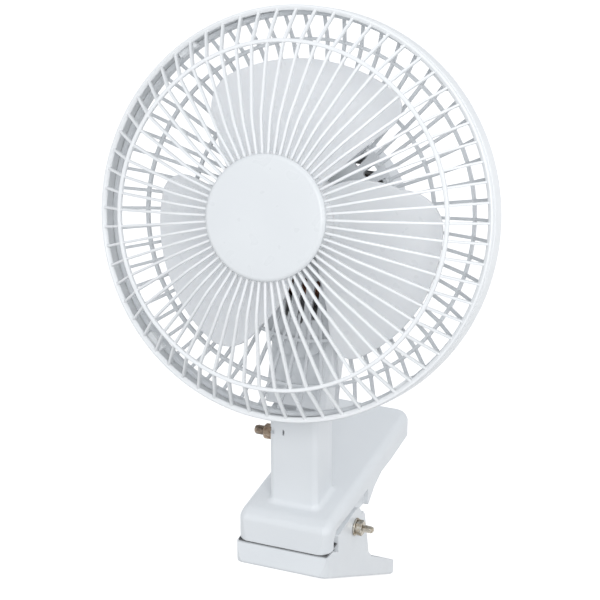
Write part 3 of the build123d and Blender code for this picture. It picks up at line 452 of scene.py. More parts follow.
def plastic(name, colour, shade, grain, dullness, through=0.0):
    # through is how much light enters the skin and comes out beside
    tree, shader = shader_tree(name)
    place_group(
        tree, moulded_skin,
        {"Colour": (*colour, 1), "Shade": (*shade, 1), "Grain": grain, "Dullness": dullness},
        shader,
    )
    shader.inputs["IOR"].default_value = plastic_index
    shader.inputs["Subsurface Weight"].default_value = through
    shader.inputs["Subsurface Radius"].default_value = scatter_reach
    shader.inputs["Subsurface Scale"].default_value = scatter_depth


def metal(name, colour, stain, dullness):
    tree, shader = shader_tree(name)
    place_group(
        tree, plated_metal,
        {"Colour": (*colour, 1), "Stain": (*stain, 1), "Dullness": dullness},
        shader,
    )
    shader.inputs["Metallic"].default_value = 1.0


# %% [markdown]
# ## White plastics
# The clamp, the cap and the cover come from different moulds and are not quite
# the same white. The two guards are one white: the front guard's is set lighter
# as painted light on its lit ribs, and the rear guard's greyer as painted shade
# behind them. The blades are thinner, and a little light goes through them.

# %% White plastics
plastic("clamp_white", (0.78, 0.80, 0.815), (0.73, 0.755, 0.775), 0.22, 0.34)
# set lighter than one white would be: painted light on the lit front ribs
plastic("guard_white", (0.90, 0.91, 0.915), (0.86, 0.875, 0.885), 0.10, 0.32)
# the guards' white made greyer: painted shade on the rear ribs behind the front guard
plastic("rear_white", (0.72, 0.74, 0.755), (0.66, 0.68, 0.70), 0.10, 0.38)
plastic("cap_white", (0.78, 0.80, 0.81), (0.755, 0.775, 0.79), 0.06, 0.30)
plastic("cover_white", (0.76, 0.78, 0.795), (0.71, 0.73, 0.75), 0.22, 0.36)
plastic("blade_grey", (0.84, 0.85, 0.86), (0.81, 0.82, 0.835), 0.05, 0.30, 0.15)
print("white plastics:", list(materials))

# %% [markdown]
# ## Rubbers
# The pads in the mouth are black rubber with a dull, slightly dusty skin. The
# same moulded group does for them, with a coarse grain and hardly any gloss.

# %% Rubbers
plastic("pad_rubber", (0.035, 0.036, 0.038), (0.06, 0.06, 0.06), 0.8, 0.72)
plastic("grommet_rubber", (0.42, 0.43, 0.44), (0.36, 0.37, 0.38), 0.5, 0.6)
print("with the rubbers:", len(materials))

# %% [markdown]
# ## Metals
# The clamp's bolt is grey with a straw tinge, and the tilt bolt is darker and
# browner. The motor's iron, copper and bronze are seen only through the slots
# of the cover, and follow the same recipe.

# %% Metals
metal("zinc_steel", (0.56, 0.53, 0.47), (0.36, 0.30, 0.22), 0.30)
metal("bolt_brown", (0.36, 0.28, 0.21), (0.19, 0.13, 0.09), 0.34)
metal("spring_steel", (0.40, 0.40, 0.41), (0.24, 0.23, 0.23), 0.30)
metal("shaft_steel", (0.62, 0.62, 0.62), (0.50, 0.50, 0.50), 0.20)
metal("stator_iron", (0.20, 0.20, 0.21), (0.12, 0.10, 0.09), 0.48)
metal("coil_copper", (0.30, 0.12, 0.06), (0.17, 0.07, 0.04), 0.34)
metal("bracket_steel", (0.50, 0.50, 0.50), (0.38, 0.37, 0.36), 0.36)
metal("bearing_bronze", (0.50, 0.34, 0.17), (0.33, 0.21, 0.10), 0.40)
print("with the metals:", len(materials))

# %% [markdown]
# ## Tools for making pieces
# Most pieces start from an outline. One helper turns it about an axis, as a
# lathe does, and another pushes it to a depth and rounds its edges, as a mould
# would. The rest shift, rotate, copy and join what these two make.

# %% Helpers: shift, rotate, pull up
def shift(bm, by):
    bmesh.ops.translate(bm, verts=bm.verts, vec=by)


def rotate(bm, degrees, axis):
    turn = Matrix.Rotation(math.radians(degrees), 3, axis)
    bmesh.ops.rotate(bm, verts=bm.verts, cent=(0, 0, 0), matrix=turn)


def pull_up(bm, height):
    # flat faces in the XY plane become a closed block
    grown = bmesh.ops.extrude_face_region(bm, geom=bm.faces[:])["geom"]
    lifted = [part for part in grown if isinstance(part, bmesh.types.BMVert)]
    bmesh.ops.translate(bm, verts=lifted, vec=(0, 0, height))
    bmesh.ops.recalc_face_normals(bm, faces=bm.faces)


# %% Helpers: lathe and prism
merge_gap = 0.0005 * mm


def turned(outline, steps):
    # outline: (radius, height) corners, turned once about Z
    bm = bmesh.new()
    corners = [bm.verts.new((radius, 0, height)) for radius, height in outline]
    closed = zip(corners, corners[1:] + corners[:1])
    edges = [bm.edges.new(pair) for pair in closed]
    bmesh.ops.spin(
        bm, geom=corners + edges, cent=(0, 0, 0), axis=(0, 0, 1),
        angle=math.tau, steps=steps, use_merge=True,
    )
    bmesh.ops.remove_doubles(bm, verts=bm.verts, dist=merge_gap)
    bmesh.ops.recalc_face_normals(bm, faces=bm.faces)
    return bm


def pushed(outline, depth, rounding, segments=2):
    # outline: (x, y) corners, pushed along Z by depth, centred on zero
    bm = bmesh.new()
    bm.faces.new([bm.verts.new((x, y, -depth / 2)) for x, y in outline])
    pull_up(bm, depth)
    bmesh.ops.bevel(
        bm, geom=list(bm.edges), offset=rounding, affect="EDGES",
        segments=segments, profile=0.5, material=-1, clamp_overlap=True,
    )
    return bm


# %% Helpers: join and copy
def join_into(target, source):
    # moves every face of one bmesh into another
    scratch = bpy.data.meshes.new("scratch")
    source.to_mesh(scratch)
    source.free()
    target.from_mesh(scratch)
    bpy.data.meshes.remove(scratch)


def copies_round(bm, count):
    # a piece and its copies, spaced evenly about Z
    bmesh.ops.spin(
        bm, geom=bm.verts[:] + bm.edges[:] + bm.faces[:], cent=(0, 0, 0), axis=(0, 0, 1),
        angle=math.tau * (count - 1) / count, steps=count - 1, use_duplicate=True,
    )


# %% [markdown]
# ## Putting a piece into its place
# A finished bmesh becomes an object with its finish and the body it moves
# with. Its place goes into the mesh and the object stays at the origin, so
# that a pattern on Object coordinates stays put when the fan tilts. Edges that
# bend little are shaded smooth, and the others stay crisp.

# %% Helper: finished piece
sharp_angle = math.radians(38)


def finish_piece(bm, name, place, slot, body, *stands_for):
    bmesh.ops.transform(bm, matrix=place, verts=bm.verts)
    for edge in bm.edges:
        edge.smooth = edge.is_manifold and edge.calc_face_angle() < sharp_angle
    for face in bm.faces:
        face.smooth = True
    mesh = bpy.data.meshes.new(name)
    bm.to_mesh(mesh)
    bm.free()
    piece = bpy.data.objects.new(name, mesh)
    bpy.context.scene.collection.objects.link(piece)
    mesh.materials.append(materials[slot])
    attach(piece, body)
    if stands_for:
        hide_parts(*stands_for)
    triangles = sum(len(face.vertices) - 2 for face in mesh.polygons)
    print(name, "has", triangles, "triangles")


# %% [markdown]
# ## The front guard
# Sixty-four ribs run from the hub plate out to the rim, with one kink near the
# hub and one over the ring. On the real moulding every rib is a thin blade,
# rounded on its front edge where the mould parts, and it ends inside a bead
# that closes the rim in front of a groove. Square ribs look like wire cut from
# sheet, so one rib is drawn as a side view, pushed to its width and bevelled,
# and then spun round with copies. The rim, the ring and the plate are turned.

# %% Sizes of the front guard
rim_radius = 105.5 * mm
rim_inside = 103.3 * mm
rim_back = -7.6 * mm
rim_front = 8.3 * mm
groove_back = 3.5 * mm
groove_front = 6.2 * mm
groove_radius = 104.3 * mm
ring_radius = 87.0 * mm
ring_height = 24.4 * mm
kink_radius = 50.0 * mm
kink_height = 40.6 * mm
hub_radius = 30.4 * mm
hub_height = 42.3 * mm
rib_deep = 2.4 * mm
rib_wide = 1.3 * mm
rib_soft = 0.34 * mm
front_ribs = 64
ring_steps = 192
plate_steps = 96
print("front guard:", 2 * rim_radius, "m across")


# %% Ribs of the front guard
def guard_ribs():
    # one rib's side view: radius, then height in the head
    side = [
        (hub_radius - 3 * mm, hub_height),
        (kink_radius - 2.5 * mm, kink_height + 0.2 * mm),
        (kink_radius + 2.5 * mm, kink_height - 1.0 * mm),
        (ring_radius - 2.5 * mm, ring_height + 2.05 * mm),
        (ring_radius + 2 * mm, ring_height - 1.1 * mm),
        (rim_inside + 0.2 * mm, rim_front - 0.2 * mm),
        (rim_inside + 0.8 * mm, rim_front - 0.9 * mm),
        (rim_inside + 0.8 * mm, rim_front - 2.4 * mm),
        (rim_inside - 0.9 * mm, rim_front - 2.6 * mm),
        (ring_radius - 1.0 * mm, ring_height + 1.0 * mm - rib_deep),
        (kink_radius - 0.6 * mm, kink_height - rib_deep),
        (hub_radius - 3 * mm, hub_height - rib_deep),
    ]
    bm = pushed(side, rib_wide, rib_soft)
    rotate(bm, 90, "X")
    copies_round(bm, front_ribs)
    print("ribs:", front_ribs)
    return bm


# %% Rim, ring and plate of the front guard
def soft_ring(inside, outside, low, high, soft, steps):
    # a ring of square section with its four corners taken off
    return turned([
        (inside, low + soft), (inside + soft, low), (outside - soft, low), (outside, low + soft),
        (outside, high - soft), (outside - soft, high), (inside + soft, high), (inside, high - soft),
    ], steps)


def guard_rim():
    soft = 0.3 * mm
    return turned([
        (rim_inside, rim_back), (rim_radius - soft, rim_back), (rim_radius, rim_back + soft),
        (rim_radius, groove_back - soft), (rim_radius - soft, groove_back), (groove_radius, groove_back),
        (groove_radius, groove_front), (rim_radius - soft, groove_front), (rim_radius, groove_front + soft),
        (rim_radius, rim_front - 0.9 * mm), (rim_radius - 0.4 * mm, rim_front - 0.2 * mm),
        (rim_radius - 1.1 * mm, rim_front), (rim_inside - 0.4 * mm, rim_front - 0.8 * mm),
        (rim_inside - 0.7 * mm, rim_front - 1.2 * mm), (rim_inside - 0.7 * mm, rim_front - 1.9 * mm),
        (rim_inside, rim_front - 2.9 * mm),
    ], ring_steps)


def guard_ring():
    half_wide = 1.0 * mm
    half_deep = 1.3 * mm
    return soft_ring(
        ring_radius - half_wide, ring_radius + half_wide,
        ring_height - half_deep, ring_height + half_deep, 0.4 * mm, ring_steps,
    )


def guard_plate():
    soft = 0.4 * mm
    return turned([
        (0, hub_height - rib_deep), (hub_radius, hub_height - rib_deep),
        (hub_radius, hub_height - soft), (hub_radius - soft, hub_height), (0, hub_height),
    ], plate_steps)


# %% [markdown]
# ## The catches that hold the two guards together
# Four catches snap the front guard onto the back one. Each is a stop inside
# the rim and two barbs behind it. They are plain blocks with rounded edges,
# drawn in plan, pushed to their height and turned to each of the four places.

# %% Catches and the whole front guard
catch_angles = (48, 132, 228, 312)
catch_soft = 0.3 * mm
# half width, inner and outer radius, low and high, in mm
catch_blocks = (
    (5.5, 100.7, 103.9, -1.4, 3.2),
    (4.0, 103.6, 105.2, -9.3, -7.4),
    (4.0, 102.1, 104.7, -9.3, -7.8),
)


def catch_block(angle, half, near, far, low, high):
    plan = [(near, -half), (far, -half), (far, half), (near, half)]
    block = pushed([(x * mm, y * mm) for x, y in plan], (high - low) * mm, catch_soft)
    shift(block, (0, 0, (low + high) / 2 * mm))
    rotate(block, angle, "Z")
    return block


def front_guard():
    bm = guard_ribs()
    for part in (guard_rim(), guard_ring(), guard_plate()):
        join_into(bm, part)
    for angle in catch_angles:
        for sizes in catch_blocks:
            join_into(bm, catch_block(angle, *sizes))
    finish_piece(bm, "guard_front", head_place, "guard_white", "head", "front_guard")


front_guard()

# %% [markdown]
# ## The fan
# Three wide blades stand on a cup-shaped hub. Each blade is a piece of a screw
# surface, flatter towards the hub, and its trailing edge sweeps round towards
# the next blade near its root. A flat grid gives the faces, and moving its
# points onto the screw gives the form, which keeps the faces even. Cutting a
# thick sheet to an outline would leave long thin ones along the edge.

# %% Sizes of the fan
hub_outside = 21.0 * mm
blade_root = 19.6 * mm
blade_tip = 79.0 * mm
tip_round = 15.0 * mm
blade_thick = 1.8 * mm
blade_soft = 0.6 * mm
blade_rise = 20.0 * mm
blade_camber = 4.0 * mm
blade_plane = -1.0 * mm
blade_middle = math.radians(90.5)
blade_span = math.radians(87)
blade_count = 3
blade_columns = 28
blade_rows = 26
# edges that turn by more than this, in radians, are the blade's rim
square_angle = 1.0
# the share of its rise that a blade has at the hub
root_rise = 0.6
# the share of the grid's rows that lie inside the tip's rounded corners
rows_inside = 0.7
# how far each edge stands from the blade's middle: radius in mm, angle in degrees
lead_edge = ((19, -33), (30, -36), (60, -40), (79, -42))
trail_edge = ((19, 70), (26, 69), (36, 65), (48, 57), (60, 49), (79, 43))
print("fan:", blade_count, "blades,", 2 * blade_tip, "m across")


# %% One point of a blade
def edge_angle(table, radius):
    # the angle at this radius, on straight runs between the table's rows
    for (low, start), (high, end) in zip(table, table[1:]):
        if radius <= high:
            share = max(radius - low, 0) / (high - low)
            return math.radians(start + (end - start) * share)
    return math.radians(table[-1][1])


def tip_place(outward):
    # the radius of a grid row, and how much angle the rounded corner takes off there
    full = blade_tip - tip_round
    if outward < rows_inside:
        return blade_root + (full - blade_root) * outward / rows_inside, 0
    bend = (outward - rows_inside) / (1 - rows_inside) * math.pi / 2
    radius = full + tip_round * math.sin(bend)
    return radius, tip_round * (1 - math.cos(bend)) / radius


def screw_point(across, outward):
    # across and outward run from 0 to 1 over one blade; the camber is nil where share is
    # half a span to either side, and the wide root runs past that at its trailing edge
    radius, trim = tip_place(outward)
    start = edge_angle(lead_edge, radius / mm) + trim
    end = edge_angle(trail_edge, radius / mm) - trim
    angle = start + (end - start) * across
    share = angle / blade_span
    reach = (radius - hub_outside) / (blade_tip - hub_outside)
    rise = blade_rise * (root_rise + (1 - root_rise) * reach)
    camber = blade_camber * (0.25 - share * share) * radius / blade_tip
    height = blade_plane + rise * share - camber
    turned_to = blade_middle + angle
    return Vector((radius * math.cos(turned_to), radius * math.sin(turned_to), height))


# %% Blades
def fan_blades():
    bm = bmesh.new()
    bmesh.ops.create_grid(bm, x_segments=blade_columns, y_segments=blade_rows, size=0.5)
    for vert in bm.verts:
        vert.co = screw_point(vert.co.x + 0.5, vert.co.y + 0.5)
    bmesh.ops.recalc_face_normals(bm, faces=bm.faces)
    bm.normal_update()
    # half a thickness down, so that the screw surface runs inside the blade
    for vert in bm.verts:
        vert.co -= vert.normal * blade_thick / 2
    bmesh.ops.solidify(bm, geom=bm.faces[:], thickness=blade_thick)
    bmesh.ops.recalc_face_normals(bm, faces=bm.faces)
    square = [edge for edge in bm.edges if edge.calc_face_angle() > square_angle]
    bmesh.ops.bevel(
        bm, geom=square, offset=blade_soft, affect="EDGES", segments=3,
        profile=0.5, material=-1, clamp_overlap=True,
    )
    copies_round(bm, blade_count)
    return bm


# %% Hub and the whole fan
# radius and height in mm, from the domed front round the cup to the shaft's bore
hub_outline = (
    (0, 13.0), (9.0, 12.9), (15.4, 12.5), (18.0, 11.7), (19.9, 10.1), (20.8, 8.2), (21.0, 7.0),
    (21.0, -12.7), (20.7, -13.0), (19.5, -13.0), (19.2, -12.7), (19.2, 7.0), (17.6, 9.4),
    (4.8, 9.4), (4.8, -12.7), (4.5, -13.0), (1.65, -13.0), (1.65, 10.0), (0, 10.0),
)
web_outline = ((4.5, -2.4), (19.5, -2.4), (19.5, 8.0), (18.0, 9.6), (4.5, 9.6))
web_thick = 1.2 * mm
web_soft = 0.2 * mm
web_count = 6


def in_metres(outline):
    return [(radius * mm, height * mm) for radius, height in outline]


def fan_wheel():
    bm = fan_blades()
    join_into(bm, turned(in_metres(hub_outline), plate_steps))
    web = pushed(in_metres(web_outline), web_thick, web_soft)
    rotate(web, 90, "X")
    copies_round(web, web_count)
    join_into(bm, web)
    finish_piece(bm, "fan_wheel", head_place, "blade_grey", "fan", "fan_blade")


fan_wheel()

# %% [markdown]
# ## Nuts, bolts and threads
# A hexagonal nut is cut from bar and its corners are turned off to a cone, so
# each face ends in a curve. Here a six-sided prism is sliced by a ring of
# tilted planes, which leaves those curves. A thread is a small ridge spun
# about the bolt while it climbs: the spin operator's dvec does the climb.

# %% Helper: hexagon
hexagon_slices = 36
# the cone that takes the corners off: its steepness, and its radius as a share of the flats
cone_tilt = math.radians(60)
cone_share = 0.48
weld_gap = 0.001 * mm


def slice_off(bm, place, normal):
    cut = bmesh.ops.bisect_plane(
        bm, geom=bm.verts[:] + bm.edges[:] + bm.faces[:], plane_co=place,
        plane_no=normal, clear_outer=True,
    )["geom_cut"]
    loop = [part for part in cut if isinstance(part, bmesh.types.BMEdge)]
    if loop:
        bmesh.ops.holes_fill(bm, edges=loop, sides=0)


def hexagon(flats, height):
    # lies along Z from 0 to height, corners turned off at both ends
    corner_radius = flats / math.cos(math.pi / 6) / 2
    bm = bmesh.new()
    bmesh.ops.create_cone(
        bm, cap_ends=True, segments=6, radius1=corner_radius, radius2=corner_radius, depth=height,
    )
    for end in (-1, 1):
        for step in range(hexagon_slices):
            angle = math.tau * step / hexagon_slices
            outward = Vector((math.cos(angle), math.sin(angle), 0))
            upward = Vector((0, 0, end))
            normal = outward * math.cos(cone_tilt) + upward * math.sin(cone_tilt)
            slice_off(bm, outward * flats * cone_share + upward * height / 2, normal)
    shift(bm, (0, 0, height / 2))
    bmesh.ops.remove_doubles(bm, verts=bm.verts, dist=weld_gap)
    bmesh.ops.recalc_face_normals(bm, faces=bm.faces)
    return bm


# %% Helper: threaded rod
thread_pitch = 0.7 * mm
thread_steps = 24
thread_sunk = 0.05 * mm
rod_steps = 32
rod_taper = 0.5 * mm
# the ridge's depth and the heights of its profile's corners, as shares of the pitch
ridge_share = 0.54
ridge_heights = (0, 0.42, 0.52, 0.94)


def threaded_rod(radius, start, end):
    # a core with a helical ridge, along Z from start to end
    core = radius - ridge_share * thread_pitch
    foot = core - thread_sunk
    bm = turned([
        (0, start), (core, start), (core, end), (core - rod_taper, end + rod_taper), (0, end + rod_taper),
    ], rod_steps)
    turns = int((end - start - thread_pitch) / thread_pitch)
    ridge = bmesh.new()
    corners = [
        ridge.verts.new((out, 0, start + share * thread_pitch))
        for out, share in zip((foot, radius, radius, foot), ridge_heights)
    ]
    face = ridge.faces.new(corners)
    bmesh.ops.spin(
        ridge, geom=[face] + list(face.edges) + corners, cent=(0, 0, 0), axis=(0, 0, 1),
        dvec=(0, 0, thread_pitch / thread_steps), angle=math.tau * turns, steps=thread_steps * turns,
    )
    bmesh.ops.recalc_face_normals(ridge, faces=ridge.faces)
    join_into(bm, ridge)
    return bm


# %% [markdown]
# ## Fasteners of the clamp
# The bolt of the clamp lies across both jaws: a hexagon head at the left, a
# washer under it, and at the right a washer, a nut and a threaded end that
# sticks out past it, as in the photograph.

# %% Helpers: a place along X, a shank and a washer
across_x = Matrix.Rotation(math.pi / 2, 4, "Y")
across_minus_x = Matrix.Rotation(-math.pi / 2, 4, "Y")
shank_steps = 48
washer_steps = 64
washer_soft = 0.22 * mm


def on_axis(node, start, turn):
    # the middle of the node's box, at this X, with Z turned along X
    low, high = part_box(node)
    return Matrix.Translation((start, (low.y + high.y) / 2, (low.z + high.z) / 2)) @ turn


def shank(radius, start, end):
    return turned([(0, start), (radius, start), (radius, end), (0, end)], shank_steps)


def washer(name, radius, bore, node, body, slot):
    low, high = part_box(node)
    bm = soft_ring(bore, radius, 0, high.x - low.x, washer_soft, washer_steps)
    finish_piece(bm, name, on_axis(node, low.x, across_x), slot, body, node)


# %% Fasteners of the clamp
clamp_flats = 7.6 * mm
clamp_head_thick = 2.8 * mm
clamp_bolt_radius = 2.1 * mm
washer_radius = 5.0 * mm
# a shank starts inside the head, and a thread inside the shank
head_overlap = 0.1 * mm
shank_back = 0.5 * mm
thread_back = 0.6 * mm

washer("washer_at_head", washer_radius, clamp_bolt_radius, "clamp_washer_left", "upper_clamp", "zinc_steel")
washer("washer_at_nut", washer_radius, clamp_bolt_radius, "clamp_washer_right", "upper_clamp", "zinc_steel")


def clamp_nut():
    low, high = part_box("clamp_nut")
    bm = hexagon(clamp_flats, high.x - low.x)
    place = on_axis("clamp_nut", low.x, across_x)
    finish_piece(bm, "nut_of_clamp", place, "zinc_steel", "upper_clamp", "clamp_nut")
    return high.x


def clamp_bolt(nut_end):
    low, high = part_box("clamp_bolt")
    nut_reach = nut_end - low.x
    bm = hexagon(clamp_flats, clamp_head_thick)
    join_into(bm, shank(clamp_bolt_radius, clamp_head_thick - head_overlap, nut_reach - shank_back))
    join_into(bm, threaded_rod(clamp_bolt_radius, nut_reach - thread_back, high.x - low.x - thread_back))
    place = on_axis("clamp_bolt", low.x, across_x)
    finish_piece(bm, "bolt_of_clamp", place, "zinc_steel", "upper_clamp", "clamp_bolt")


clamp_bolt(clamp_nut())

# %% [markdown]
# ## Fasteners of the tilt
# The head tilts on a short bolt that is held in the neck's tongue and comes
# out at the left, through a washer and a nut, darker than the clamp's.

# %% Fasteners of the tilt
tilt_flats = 7.2 * mm
tilt_head_start = 7.0 * mm
tilt_head_thick = 3.9 * mm
tilt_bolt_radius = 2.6 * mm
tilt_stub_radius = 3.1 * mm
tilt_washer_radius = 4.4 * mm
washer("washer_of_tilt", tilt_washer_radius, tilt_bolt_radius, "tilt_washer", "head", "bolt_brown")


def tilt_nut():
    low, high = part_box("tilt_nut")
    bm = hexagon(tilt_flats, high.x - low.x)
    place = on_axis("tilt_nut", high.x, across_minus_x)
    finish_piece(bm, "nut_of_tilt", place, "bolt_brown", "head", "tilt_nut")
    return low.x


def tilt_stub(start, end):
    # the plain end past the head, which turns in the post's other wall
    soft = 0.2 * mm
    radius = tilt_stub_radius
    return turned([
        (0, start), (radius, start), (radius, end - soft), (radius - soft, end), (0, end),
    ], shank_steps)


def tilt_bolt(nut_end):
    low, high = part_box("tilt_bolt")
    bm = shank(tilt_bolt_radius, nut_end + shank_back, tilt_head_start)
    head = hexagon(tilt_flats, tilt_head_thick)
    shift(head, (0, 0, tilt_head_start))
    join_into(bm, head)
    join_into(bm, tilt_stub(tilt_head_start + tilt_head_thick - head_overlap, high.x))
    tail = threaded_rod(tilt_bolt_radius, -nut_end - thread_back, -low.x - thread_back)
    rotate(tail, 180, "Y")
    join_into(bm, tail)
    place = on_axis("tilt_bolt", 0, across_x)
    finish_piece(bm, "bolt_of_tilt", place, "bolt_brown", "head", "tilt_bolt")


tilt_bolt(tilt_nut())

# %% [markdown]
# ## The clamp's spring
# A torsion spring closes the jaws: close turns of round wire about the hinge
# bolt, one leg under the handle and one on the lower jaw's floor. A round wire
# is easiest as a curve with a bevel, turned into a mesh. The legs leave the
# turns along a tangent, so that the wire has no kink there, and the lower leg
# is its own piece, because it swings with the lower jaw about the same axis.

# %% Helper: round wire
def wire(points, thick, fineness):
    curve = bpy.data.curves.new("wire", "CURVE")
    curve.dimensions = "3D"
    curve.bevel_depth = thick / 2
    curve.bevel_resolution = fineness
    curve.use_fill_caps = True
    line = curve.splines.new("POLY")
    line.points.add(len(points) - 1)
    for knot, place in zip(line.points, points):
        knot.co = (*place, 1)
    holder = bpy.data.objects.new("wire", curve)
    mesh = bpy.data.meshes.new_from_object(holder)
    bm = bmesh.new()
    bm.from_mesh(mesh)
    bmesh.ops.remove_doubles(bm, verts=bm.verts, dist=weld_gap)
    bmesh.ops.recalc_face_normals(bm, faces=bm.faces)
    bpy.data.objects.remove(holder)
    bpy.data.curves.remove(curve)
    bpy.data.meshes.remove(mesh)
    return bm


# %% Clamp spring
spring_radius = 4.6 * mm
spring_wire = 1.6 * mm
spring_half = 6.0 * mm
spring_turns = 5
spring_fineness = 3
points_per_turn = 40
# where the legs end and how their tips bend, as Y and Z from the hinge
upper_foot = Vector((28.8 * mm, 20.4 * mm))
upper_tip = Vector((3.0 * mm, 0.3 * mm))
lower_foot = Vector((20.8 * mm, -39.4 * mm))
lower_tip = Vector((2.4 * mm, -1.4 * mm))


def leaving_angle(foot, side):
    # where a straight leg to this foot touches the turns
    return math.atan2(foot.y, foot.x) + side * math.acos(spring_radius / foot.length)


def on_turn(sideways, angle):
    return (sideways, spring_radius * math.cos(angle), spring_radius * math.sin(angle))


def spring_coil(first, last):
    # the turns and the upper leg
    steps = points_per_turn * spring_turns
    points = []
    for step in range(steps + 1):
        share = step / steps
        points.append(on_turn(spring_half * (2 * share - 1), first + (last - first) * share))
    for spot in (upper_foot, upper_foot + upper_tip):
        points.append((spring_half, spot.x, spot.y))
    bm = wire(points, spring_wire, spring_fineness)
    finish_piece(bm, "spring_turns", hinge_place, "spring_steel", "upper_clamp", "clamp_spring")


def spring_lower_leg(first):
    points = [(-spring_half, spot.x, spot.y) for spot in (lower_foot + lower_tip, lower_foot)]
    points.append(on_turn(-spring_half, first))
    bm = wire(points, spring_wire, spring_fineness)
    finish_piece(bm, "spring_low_leg", hinge_place, "spring_steel", "lower_clamp")


def clamp_spring():
    first = leaving_angle(lower_foot, 1)
    last = leaving_angle(upper_foot, -1) + spring_turns * math.tau
    spring_coil(first, last)
    spring_lower_leg(first)


clamp_spring()

# %% [markdown]
# ## The motor's winding
# Through the slots of the cover one looks at the coil: enamelled wire wound
# round one leg of the iron, between two thin cheeks. The turns are one curve
# that runs round a rounded rectangle while it creeps sideways. Rings beside
# each other would look alike, but a real winding climbs, and costs no more.

# %% Sizes of the winding
coil_middle = Vector((0, -35.5 * mm, -43.0 * mm))
coil_half = 11.0 * mm
coil_tall = 20.2 * mm
coil_deep = 23.2 * mm
coil_corner = 4.0 * mm
coil_wire = 0.9 * mm
coil_turns = 23
coil_fineness = 1
core_wall = 3.4 * mm
# how far the core lies under the turns' outside, in wires
core_sunk = 1.4
cheek_thick = 1.4 * mm
cheek_proud = 2.0 * mm
cheek_corner = 2.5 * mm
cheek_wall = 4.9 * mm
print("winding:", coil_turns, "turns of", coil_wire, "m wire")


# %% Helpers: rounded plate and frame
corner_steps = 6


def rounded_plate(wide, tall, corner):
    bm = bmesh.new()
    spots = [(-wide / 2, -tall / 2), (wide / 2, -tall / 2), (wide / 2, tall / 2), (-wide / 2, tall / 2)]
    bm.faces.new([bm.verts.new((x, y, 0)) for x, y in spots])
    bmesh.ops.bevel(
        bm, geom=list(bm.verts), offset=corner, affect="VERTICES", segments=corner_steps,
        profile=0.5, material=-1,
    )
    return bm


def bobbin_ring(wide, tall, corner, thick, height):
    # a rounded frame round the leg, standing along Z
    bm = rounded_plate(wide, tall, corner)
    inner = bm.faces[:]
    bmesh.ops.inset_region(bm, faces=inner, thickness=thick, use_even_offset=True)
    bmesh.ops.delete(bm, geom=inner, context="FACES_ONLY")
    pull_up(bm, height)
    return bm


# %% Winding
def wound_turns():
    track = rounded_plate(coil_deep - coil_wire, coil_tall - coil_wire, coil_corner)
    loop = [vert.co.copy() for vert in track.faces[:][0].verts]
    track.free()
    total = len(loop) * coil_turns
    reach = coil_half - coil_wire / 2
    points = []
    for step in range(total + 1):
        spot = loop[step % len(loop)]
        points.append((spot.x, spot.y, reach * (2 * step / total - 1)))
    return wire(points, coil_wire, coil_fineness)


def winding():
    bm = wound_turns()
    sunk = core_sunk * coil_wire
    core = bobbin_ring(coil_deep - sunk, coil_tall - sunk, coil_corner, core_wall, 2 * coil_half)
    shift(core, (0, 0, -coil_half))
    join_into(bm, core)
    for start in (-coil_half - cheek_thick, coil_half):
        plate = bobbin_ring(
            coil_deep + cheek_proud, coil_tall + cheek_proud, cheek_corner, cheek_wall, cheek_thick,
        )
        shift(plate, (0, 0, start))
        join_into(bm, plate)
    # the coil's length lies along X, and its depth along the fan's axis
    place = head_place @ Matrix.Translation(coil_middle) @ across_x
    finish_piece(bm, "coil_winding", place, "coil_copper", "head", "coil")


winding()

# %% [markdown]
# ## The rubber pads
# Each jaw carries a black rubber pad in a shallow bed, grooved across for grip.
# Under it lies a thin black sheet that spreads over the jaw's face towards its
# edge: painted shade for the gap between the jaws, which makes the mouth read as
# a dark line from outside. It lies a hair behind the pad's face and runs under
# the whole pad, so it fills most of each groove. The pad is pushed from its side
# view, so that the grooves are part of one outline; a block with cuts would need
# a boolean for each groove.

# %% Sizes of the rubber pads
pad_half = 22.0 * mm
pad_reach = 9.0 * mm
pad_soft = 0.12 * mm
# sizes of the black sheet under each pad, painted shade for the mouth's gap
skirt_half = 25.4 * mm
skirt_front = -10.1 * mm
skirt_corner = 0.6 * mm
skirt_thick = 0.4 * mm
skirt_lift = 0.02 * mm
groove_pitch = 3.6 * mm
groove_steps = (-1.5, -0.5, 0.5, 1.5)
groove_half = 0.45 * mm
groove_floor_half = 0.7 * groove_half
groove_deep = 0.6 * mm
print("pads:", 2 * pad_half, "m long, with", len(groove_steps), "grooves")


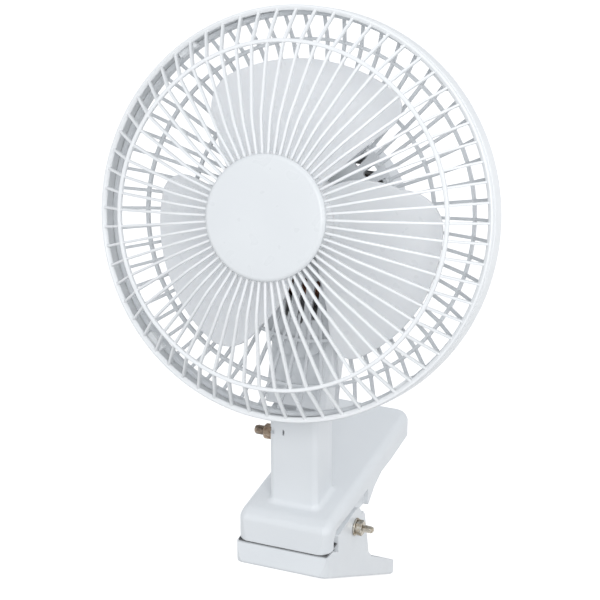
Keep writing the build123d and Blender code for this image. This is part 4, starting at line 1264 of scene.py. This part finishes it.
# %% Rubber pads
def grooved_side(deep):
    # the side view: depth in the fan, then how far into the jaw
    outline = [(-pad_reach, 0)]
    for step in groove_steps:
        middle = step * groove_pitch
        outline += [
            (middle - groove_half, 0), (middle - groove_floor_half, groove_deep),
            (middle + groove_floor_half, groove_deep), (middle + groove_half, 0),
        ]
    return outline + [(pad_reach, 0), (pad_reach, deep), (-pad_reach, deep)]


# a black sheet out towards the jaw's edges: painted shade for the gap between the jaws
def mouth_shade_sheet(side):
    skirt = rounded_plate(2 * skirt_half, 2 * pad_reach, skirt_corner)
    front = [vert for vert in skirt.verts if vert.co.y < 0]
    bmesh.ops.translate(skirt, verts=front, vec=(0, pad_reach + skirt_front, 0))
    pull_up(skirt, side * skirt_thick)
    shift(skirt, (0, 0, side * skirt_lift))
    return skirt


def grip_pad(name, node, body, side):
    # side is 1 for the pad that goes up into its jaw, and -1 for the other
    low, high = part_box(node)
    face = low.z if side > 0 else high.z
    outline = grooved_side(high.z - low.z)
    bm = pushed([(y, side * z) for y, z in outline], 2 * pad_half, pad_soft, 1)
    # the outline's own axes are the fan's depth and height, so its length turns to X
    turn = Matrix(((0, 0, 1), (1, 0, 0), (0, 1, 0)))
    bmesh.ops.transform(bm, matrix=turn.to_4x4(), verts=bm.verts)
    join_into(bm, mouth_shade_sheet(side))
    bmesh.ops.recalc_face_normals(bm, faces=bm.faces)
    place = Matrix.Translation((0, 0, face))
    finish_piece(bm, name, place, "pad_rubber", body, node)


grip_pad("upper_grip", "upper_pad", "upper_clamp", 1)
grip_pad("lower_grip", "lower_pad", "lower_clamp", -1)

# %% [markdown]
# ## Finishes on the pieces that stay as the model has them
# The jaws, the rear guard, the cap, the cover and the motor's iron keep their
# solid shapes, which already have the right form. They only need the finish
# that the record names for them, and the groups above round their edges to
# the eye with a Bevel node, which a mesh bevel would do at a far higher cost.

# %% Finishes on the carried-over nodes
slot_of = {row["node"]: row["material_slot"] for row in frame["record"]["subparts"]}
for name, node in nodes.items():
    node.data.materials.clear()
    node.data.materials.append(materials[slot_of[name]])
print("finishes given to", len(nodes), "nodes")
